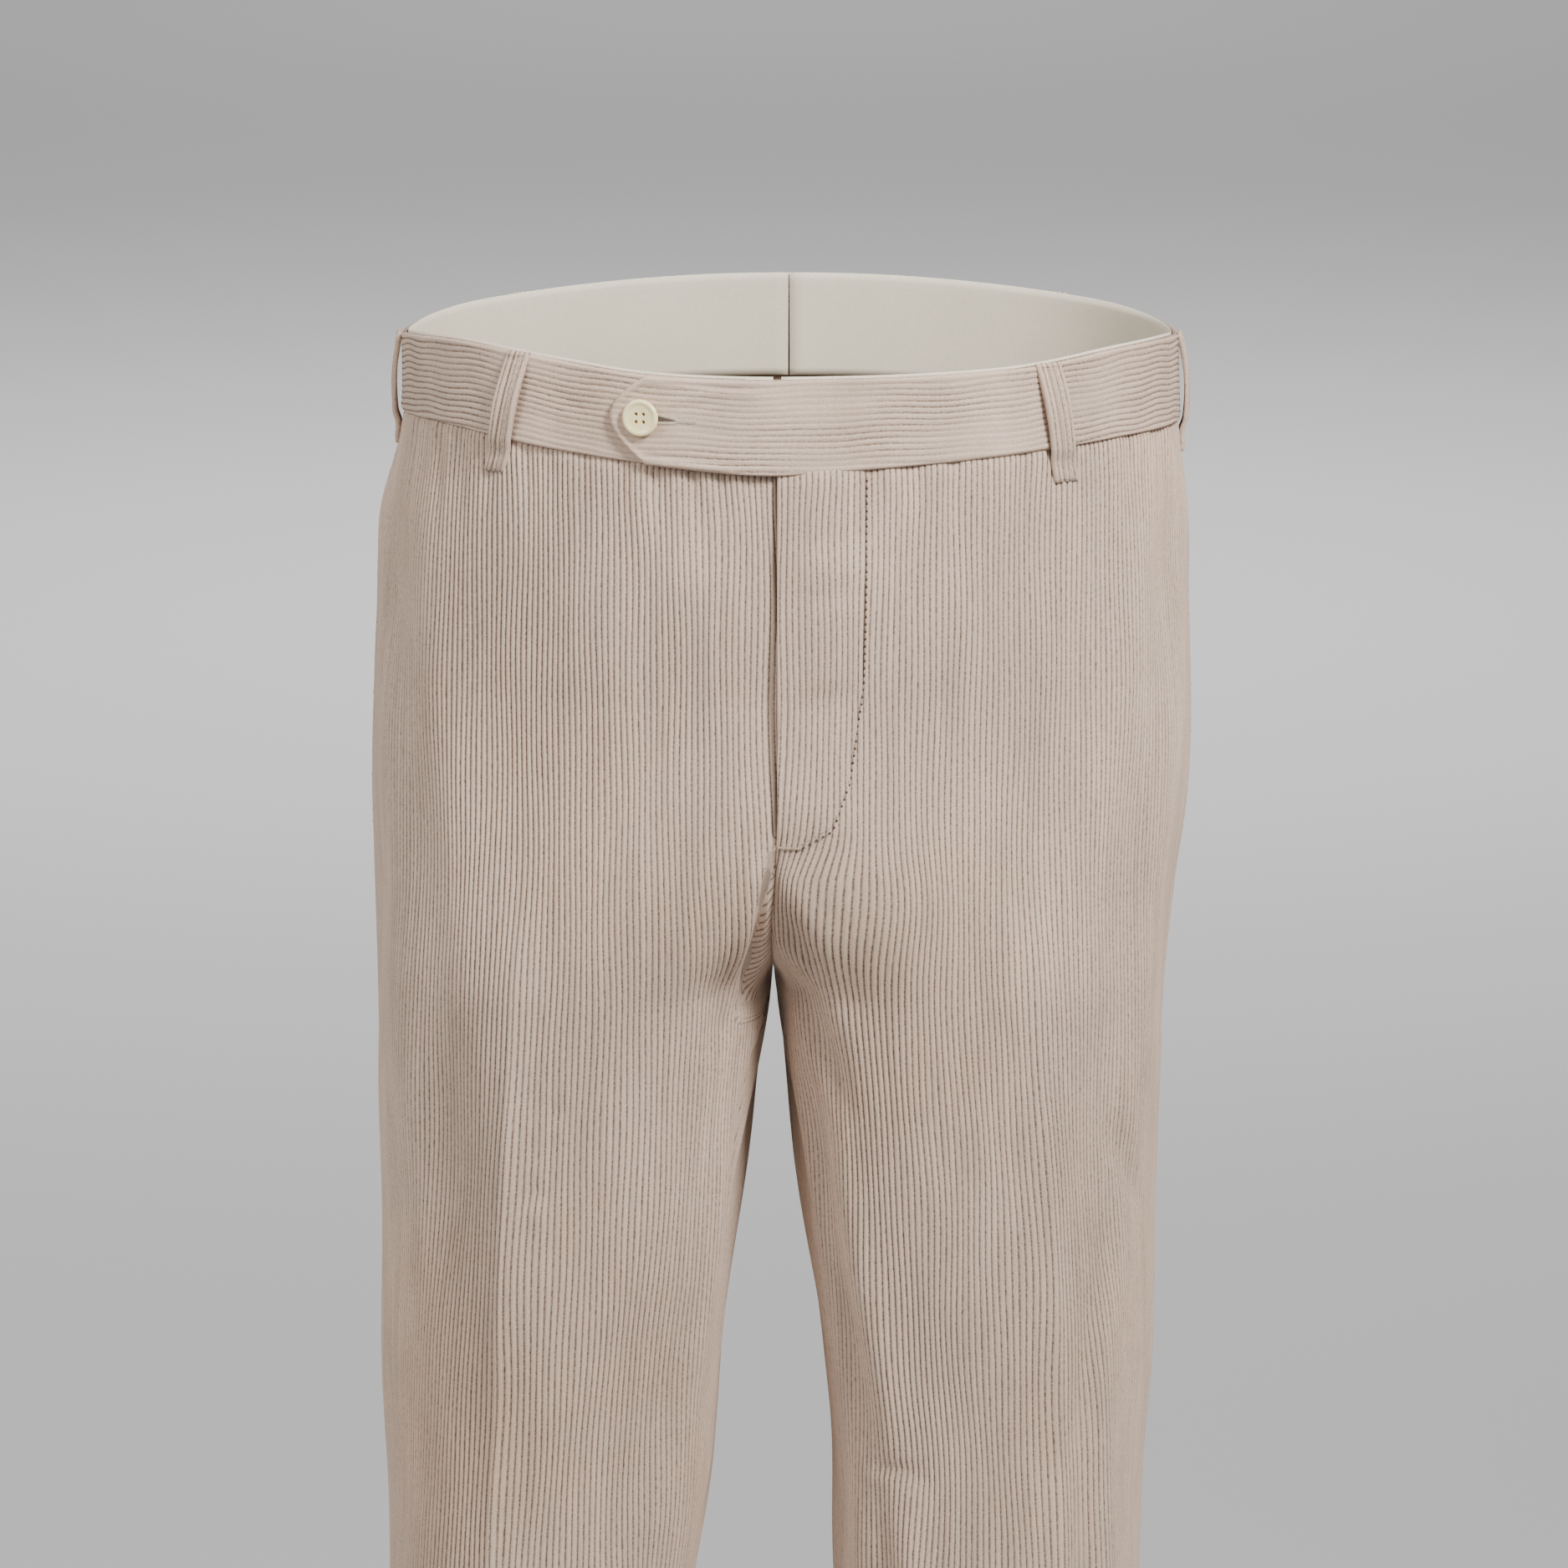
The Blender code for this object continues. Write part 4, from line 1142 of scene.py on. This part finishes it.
thread = make_thread("beige_thread", (0.40, 0.300, 0.215))
shares = np.linspace(0, 1, LOOP_ROWS + 1)
offset = np.linspace(-1, 1, LOOP_ACROSS) * LOOP_WIDTH / 2
bow = LOOP_BOWS * np.sin(np.pi * np.clip(shares * 1.20 - 0.05, 0, 1)) ** 1.1
for name, top_degrees, bottom_degrees in LOOPS:
    middle = top_degrees + (bottom_degrees - top_degrees) * shares
    top = float(ring_edge("top", np.array(top_degrees))) + 0.0004
    bottom = float(ring_edge("seam", np.array(bottom_degrees))) - LOOP_BELOW
    length = top - bottom
    z = (top - length * shares)[:, None] + 0 * offset
    degrees = middle[:, None] + offset / METRES_A_DEGREE
    degrees = np.where(degrees > 180, degrees - 360, degrees)
    chance = np.random.default_rng(len(name) + int(abs(top_degrees)))
    sway = 0.0005 * np.sin(shares * 7 + chance.uniform(0, 6))
    wales = (offset + 0 * z) / WALE + 0.5
    relief = WALE_RELIEF * 0.8 * wale_section(wales)
    for at in LOOP_ROWS_OF_STITCHES:
        relief = relief - 0.00075 * hump(offset - at, 0.0006)
    roll = 0.0011 * rolled(LOOP_WIDTH / 2 - np.abs(offset), LOOP_EDGE)
    end_roll = 0.0010 * rolled(np.minimum(shares, 1 - shares) * length, LOOP_EDGE)
    pressed = 0.0007 * hump((shares - 0.965) * length, 0.0010)
    pressed += 0.0006 * hump((shares - 0.045) * length, 0.0010)
    below_seam = np.clip(shares * length - (length - LOOP_BELOW), 0, None)
    seat = (BAND_PROUD - 0.0004 - 0.0012 * ease(below_seam / 0.006) + bow)[:, None]
    out = seat + LOOP_THICK + relief - roll - (end_roll + pressed)[:, None]
    out = out + sway[:, None] * np.abs(offset) / (LOOP_WIDTH / 2)
    outer = ring_point(degrees, z, out)
    inside = ring_point(degrees, z, seat + 0 * z)
    cloth = cloth_values(wales, -z, LOOP_WORN, LOOP_WORN, every_column(z, 1))
    place = np.broadcast_to(offset, z.shape)
    piece = closed_cloth(
        f"cloth_{name}", outer, inside, place, place, shares, cloth, corduroy, True
    )
    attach(piece, "root")
    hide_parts(name)

    # two rows of stitches down the loop and one across each end, each stitch as
    # its row, its column, how many rows and columns it spans, and its lift off the cloth
    spots = [
        (row, int(np.argmin(np.abs(offset - at))), 1, 0, 0.00012)
        for at in LOOP_ROWS_OF_STITCHES
        for row in range(2, LOOP_ROWS - 2, 2)
    ]
    spots += [
        (row, column, 0, 1, 0.00015)
        for row in (1, LOOP_ROWS - 1)
        for column in range(2, LOOP_ACROSS - 3, 2)
    ]
    starts, ends, outwards = [], [], []
    for row, column, rows_on, columns_on, lift in spots:
        away = outer[row, column] - inside[row, column]
        away = away / np.linalg.norm(away)
        starts.append(outer[row, column] + away * lift)
        ends.append(outer[row + rows_on, column + columns_on] + away * lift)
        outwards.append(away)
    sew(f"stitches_{name}", starts, ends, outwards, LOOP_THREAD, thread, "corduroy")

# ---------------------------------------------------------------------------
# Stitching of the fly and the pockets. A hand-worked row curves down the left front and in to the
# fly's foot, where a short dense bar holds it. A fine row edges each side seam over the pocket.

FLY_STITCH_LENGTH = 0.0019
FLY_STITCH_EVERY = 0.0031
PIT_LENGTH = 0.0011
PIT_THICK = 0.00056
THREAD_THICK = 0.00034
BAR = (-0.0044, 0.0047, -0.1979)  # from x, to x, and z
BAR_TALL = 0.0013
BAR_STITCHES = 20
BAR_THREAD = 0.00036
POCKET = (-0.050, -0.215)
POCKET_FROM_SEAM = 0.0048
POCKET_STITCH_EVERY = 0.0052
POCKET_STITCH_LENGTH = 0.0014
POCKET_THREAD = 0.00024


def cloth_point(surface, s, level):
    """A place on a panel's face, and the way out from it."""
    heights = surface["heights"]
    place = np.interp(level, heights, np.arange(len(heights)))
    row = int(min(place, len(heights) - 2))
    t = place - row
    found = []
    for grid in (surface["outer"], surface["normal"]):
        two = [
            np.array([np.interp(s, surface["s"][r], grid[r, :, axis]) for axis in range(3)])
            for r in (row, row + 1)
        ]
        found.append(two[0] * (1 - t) + two[1] * t)
    return found[0], found[1]


def row_of_stitches(surface, path, every, length, lift):
    """Starts, ends and outward ways of stitches along a line of places on a panel's flat cloth."""
    path = np.array(path)
    run = np.concatenate([[0], np.cumsum(np.linalg.norm(np.diff(path, axis=0), axis=1))])
    starts, ends, outwards = [], [], []
    for at in np.arange(every / 2, run[-1] - length, every):
        pair = []
        for where in (at, at + length):
            s = float(np.interp(where, run, path[:, 0]))
            level = float(np.interp(where, run, path[:, 1]))
            place, away = cloth_point(surface, s, level)
            pair.append(place + away * lift)
        starts.append(pair[0])
        ends.append(pair[1])
        outwards.append(away)
    return starts, ends, outwards


left_front = panels["front_left"]
fly_path = [(left_front["cloth_place"](x, level), level) for x, level in FLY_STITCH]
stitches = row_of_stitches(left_front, fly_path, FLY_STITCH_EVERY, FLY_STITCH_LENGTH, 0.0001)
sew("stitches_fly", *stitches, THREAD_THICK, thread, "corduroy")
# between two stitches the cloth is pulled in, and a dark bead is painted there as its shade
starts, ends, outwards = row_of_stitches(
    left_front, fly_path, FLY_STITCH_EVERY, PIT_LENGTH, 0.00012
)
shade = make_thread("painted_pit_shade", (0.075, 0.050, 0.036))
drop = np.array((0, 0, (FLY_STITCH_LENGTH + FLY_STITCH_EVERY - PIT_LENGTH) / 2))
sew("pits_fly", np.array(starts) - drop, np.array(ends) - drop, outwards, PIT_THICK, shade, "corduroy")

starts, ends, outwards = [], [], []
for x in np.linspace(BAR[0], BAR[1], BAR_STITCHES):
    surface = left_front if x > -0.0050 else panels["front_right"]
    s = surface["cloth_place"](float(x), BAR[2])
    place, away = cloth_point(surface, s, BAR[2])
    tall = np.array((0, 0, BAR_TALL / 2))
    starts.append(place + away * 0.0005 - tall)
    ends.append(place + away * 0.0005 + tall)
    outwards.append(away)
sew("bar_fly", starts, ends, outwards, BAR_THREAD, thread, "corduroy")

for side in ("left", "right"):
    surface = panels[f"front_{side}"]
    path = []
    for level in np.linspace(*POCKET, 30):
        row = int(np.argmin(np.abs(surface["heights"] - level)))
        path.append((surface["s"][row, -1] - POCKET_FROM_SEAM, level))
    stitches = row_of_stitches(surface, path, POCKET_STITCH_EVERY, POCKET_STITCH_LENGTH, 0.0)
    sew(f"stitches_pocket_{side}", *stitches, POCKET_THREAD, thread, "corduroy")

# ---------------------------------------------------------------------------
# The buttonhole. A slit in the tab, where a dark sheet is painted shade over the under layer that shows,
# edged all round with close thread, and closed at its far end with a bar.

SLIT = (-0.0560, -0.0460)
SLIT_Z = (-0.0176, -0.0186)
SLIT_OPENS = 0.0021
PURL_EVERY = 0.00052
PURL_LONG = 0.0015
PURL_THREAD = 0.00027
BUTTONHOLE_BAR_X = -0.0378
# a dark material for the painted shade inside the slit
slit_shade = make_thread("painted_slit_shade", (0.11, 0.082, 0.062))


def tab_point(x, z, out):
    """A place on the tab's face, seen from the front."""
    turned = np.array(degrees_at(x))
    base = BAND_PROUD + float(tab_lift(turned)) + out
    here = ring_point(turned, np.array(z), base)
    further = ring_point(turned, np.array(z), base + 0.01)
    away = (further - here) / 0.01
    return here, away


starts, ends, outwards = [], [], []
for x in np.arange(SLIT[0], SLIT[1], PURL_EVERY):
    share = (x - SLIT[0]) / (SLIT[1] - SLIT[0])
    opened = SLIT_OPENS * (1 - share) ** 0.8
    centre = SLIT_Z[0] + (SLIT_Z[1] - SLIT_Z[0]) * share
    for up in (-1, 1):
        near, away = tab_point(float(x), centre + up * opened * 0.6, 0.00005)
        far, _ = tab_point(float(x) + 0.0002, centre + up * (opened * 0.6 + PURL_LONG), -0.00005)
        starts.append(near)
        ends.append(far)
        outwards.append(away)
for x in np.arange(SLIT[1], BUTTONHOLE_BAR_X, PURL_EVERY):
    centre = SLIT_Z[1]
    near, away = tab_point(float(x), centre - 0.0010, 0.00005)
    far, _ = tab_point(float(x) + 0.0003, centre + 0.0010, 0.00005)
    starts.append(near)
    ends.append(far)
    outwards.append(away)
hole_thread = make_thread("buttonhole_thread", (0.62, 0.52, 0.40))
sew("buttonhole", starts, ends, outwards, PURL_THREAD, hole_thread, "corduroy")

# a dark sheet over the slit, painted shade where the under layer shows
slit_mesh = bmesh.new()
upper, lower = [], []
for x in np.linspace(SLIT[0], SLIT[1] + 0.0008, 16):
    share = (x - SLIT[0]) / (SLIT[1] + 0.0008 - SLIT[0])
    opened = SLIT_OPENS * max(1 - share, 0.0) ** 0.8 + 0.00005
    centre = SLIT_Z[0] + (SLIT_Z[1] - SLIT_Z[0]) * share
    upper.append(slit_mesh.verts.new(tab_point(float(x), centre + opened * 0.7, 0.00012)[0]))
    lower.append(slit_mesh.verts.new(tab_point(float(x), centre - opened * 0.7, 0.00012)[0]))
for k in range(len(upper) - 1):
    slit_mesh.faces.new((lower[k], lower[k + 1], upper[k + 1], upper[k]))
slit_data = bpy.data.meshes.new("buttonhole_slit")
slit_mesh.to_mesh(slit_data)
slit_mesh.free()
slit_data.materials.append(slit_shade)
slit = bpy.data.objects.new("buttonhole_slit", slit_data)
bpy.context.collection.objects.link(slit)
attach(slit, "root")

# ---------------------------------------------------------------------------
# The button. Turned from pale horn, with a low rim round a dished face and four holes, sewn on with
# cream thread through each pair of holes.

BUTTON_X = -0.0600
BUTTON_Z = -0.0174
BUTTON_CLEAR = 0.0006
BUTTON_HOLE = 0.00078
BUTTON_HOLE_OUT = 0.0023
BUTTON_THREAD = 0.00022
HORN = (0.990, 0.865, 0.490)
DEEPER_HORN = (0.970, 0.800, 0.400)


def make_horn():
    made, tree, shader = new_material("pale_horn", 0.38, 0.0, 0.45)
    shader.inputs["Coat Weight"].default_value = 0.25
    shader.inputs["Coat Roughness"].default_value = 0.25
    here = add_node(tree, "TexCoord").outputs["Object"]
    grain = add_node(tree, "Mapping", {"Vector": here, "Scale": (1.0, 1.0, 0.35)}).outputs[0]
    cloud = spread(tree, noise(tree, grain, 420.0, 4.0, 0.6), 0.35, 0.75)
    colour = blend_colour(tree, cloud, HORN, DEEPER_HORN)
    tree.links.new(colour, shader.inputs["Base Color"])
    return made


horn = make_horn()
seat, away = tab_point(BUTTON_X, BUTTON_Z, BUTTON_CLEAR)
profile = (
    (0.0000, 0.0000),
    (0.0062, 0.0000),
    (0.0072, 0.0003),
    (0.0077, 0.0010),
    (0.0078, 0.0016),
    (0.0076, 0.0022),
    (0.0072, 0.0026),
    (0.0067, 0.0027),
    (0.0062, 0.0026),
    (0.0057, 0.0023),
    (0.0050, 0.0021),
    (0.0000, 0.0020),
)
turning = bmesh.new()
line = [turning.verts.new((radius, 0, height)) for radius, height in profile]
edges = [turning.edges.new(pair) for pair in zip(line, line[1:])]
bmesh.ops.spin(
    turning, geom=line + edges, cent=(0, 0, 0), axis=(0, 0, 1), angle=2 * math.pi, steps=72
)
bmesh.ops.remove_doubles(turning, verts=turning.verts, dist=0.00001)
bmesh.ops.recalc_face_normals(turning, faces=turning.faces)
blank_data = bpy.data.meshes.new("button_blank")
turning.to_mesh(blank_data)
turning.free()
blank = bpy.data.objects.new("button_blank", blank_data)
bpy.context.collection.objects.link(blank)
for corner in range(4):
    angle = math.pi / 4 + corner * math.pi / 2
    drill = bmesh.new()
    bmesh.ops.create_cone(
        drill, cap_ends=True, segments=20, radius1=BUTTON_HOLE, radius2=BUTTON_HOLE, depth=0.01
    )
    place = (BUTTON_HOLE_OUT * math.cos(angle), BUTTON_HOLE_OUT * math.sin(angle), 0)
    bmesh.ops.translate(drill, verts=drill.verts, vec=place)
    drill_data = bpy.data.meshes.new("drill")
    drill.to_mesh(drill_data)
    drill.free()
    cutter = bpy.data.objects.new("drill", drill_data)
    bpy.context.collection.objects.link(cutter)
    hole = blank.modifiers.new("hole", "BOOLEAN")
    hole.operation = "DIFFERENCE"
    hole.object = cutter
drilled = blank.evaluated_get(bpy.context.evaluated_depsgraph_get())
button_data = bpy.data.meshes.new_from_object(drilled)
for made in [blank] + [o for o in bpy.data.objects if o.name.startswith("drill")]:
    bpy.data.objects.remove(made)
button_data.materials.clear()
button_data.materials.append(horn)
button_data.shade_smooth()
button_data.set_sharp_from_angle(angle=math.radians(50))
button = bpy.data.objects.new("sewn_button", button_data)
bpy.context.collection.objects.link(button)
button.location = seat
button.rotation_euler = (0, math.pi / 2, math.atan2(away[1], away[0]))
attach(button, "root")
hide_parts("button")

cream_thread = make_thread("cream_thread", (0.62, 0.50, 0.36))
side_way = np.cross((0, 0, 1), away)
side_way /= np.linalg.norm(side_way)
starts, ends, outwards = [], [], []
hole_reach = BUTTON_HOLE_OUT * math.cos(math.pi / 4)
for up in (-1, 1):
    for strand in (-1, 1):
        level = np.array((0, 0, up * hole_reach + strand * 0.0002))
        for end in (-1, 1):
            entry = seat + away * 0.0012 + side_way * hole_reach * end + level
            starts.append(entry)
            ends.append(entry - away * 0.0020 + side_way * 0.0001)
            outwards.append(side_way)
sew("button_thread", starts, ends, outwards, BUTTON_THREAD, cream_thread, "button")

# ---------------------------------------------------------------------------
# Camera, light and floor. A long lens a little above the waist, one broad soft light to the front
# right, a weaker one to the left and an even pale surround.

camera_data = bpy.data.cameras.new("camera")
camera_data.lens = 213.23
camera_data.sensor_width = 36
camera = bpy.data.objects.new("camera", camera_data)
bpy.context.collection.objects.link(camera)
camera_rise = math.radians(10.5)
camera_distance = 4.0
aim = (-0.00214, 0.0, -0.1936)
camera.location = (
    aim[0],
    -camera_distance * math.cos(camera_rise),
    aim[2] + camera_distance * math.sin(camera_rise),
)
camera.rotation_euler = (math.pi / 2 - camera_rise, 0, 0)
bpy.context.scene.camera = camera

lights = (
    ("key", (1.30, -1.8, 1.65), 0.7, 27.0, 80.0, 0.10),
    ("fill", (-2.1, -1.4, 1.3), 1.5, 20.0, 120.0, 0.04),
    ("top", (0.0, 0.4, 2.6), 1.8, 16.0, 180.0, -0.4),
    ("backdrop", (0.0, 5.8, 3.2), 2.5, 94.0, 110.0, -0.4),
    ("far_backdrop", (0.0, 12.5, 3.2), 2.5, 36.0, 120.0, -0.4),
)
for name, place, size, power, beam, aimed in lights:
    light_data = bpy.data.lights.new(name, "AREA")
    light_data.size = size
    light_data.energy = power
    light_data.spread = math.radians(beam)
    lamp = bpy.data.objects.new(name, light_data)
    lamp.location = place
    away = np.array(place) - np.array((0, max(place[1], 0), aimed))
    flat_away = math.hypot(away[0], away[1])
    lamp.rotation_euler = (
        math.atan2(flat_away, away[2]),
        0,
        math.atan2(away[1], away[0]) + math.pi / 2,
    )
    bpy.context.collection.objects.link(lamp)

world = bpy.data.worlds.new("surround")
world.use_nodes = True
world.node_tree.nodes["Background"].inputs["Color"].default_value = (0.95, 0.945, 0.94, 1)
world.node_tree.nodes["Background"].inputs["Strength"].default_value = 0.46
bpy.context.scene.world = world

floor_data = bpy.data.meshes.new("floor")
reach = 30.0
floor_z = HEM_Z - 0.012
floor_data.from_pydata(
    [(-reach, -reach, floor_z), (reach, -reach, floor_z), (reach, reach, floor_z), (-reach, reach, floor_z)],
    [],
    [(0, 1, 2, 3)],
)
floor = bpy.data.objects.new("floor", floor_data)
paint, _, paint_shader = new_material("pale_floor", 0.9, 0.0, 0.1)
paint_shader.inputs["Base Color"].default_value = (0.62, 0.62, 0.62, 1)
floor_data.materials.append(paint)
bpy.context.collection.objects.link(floor)
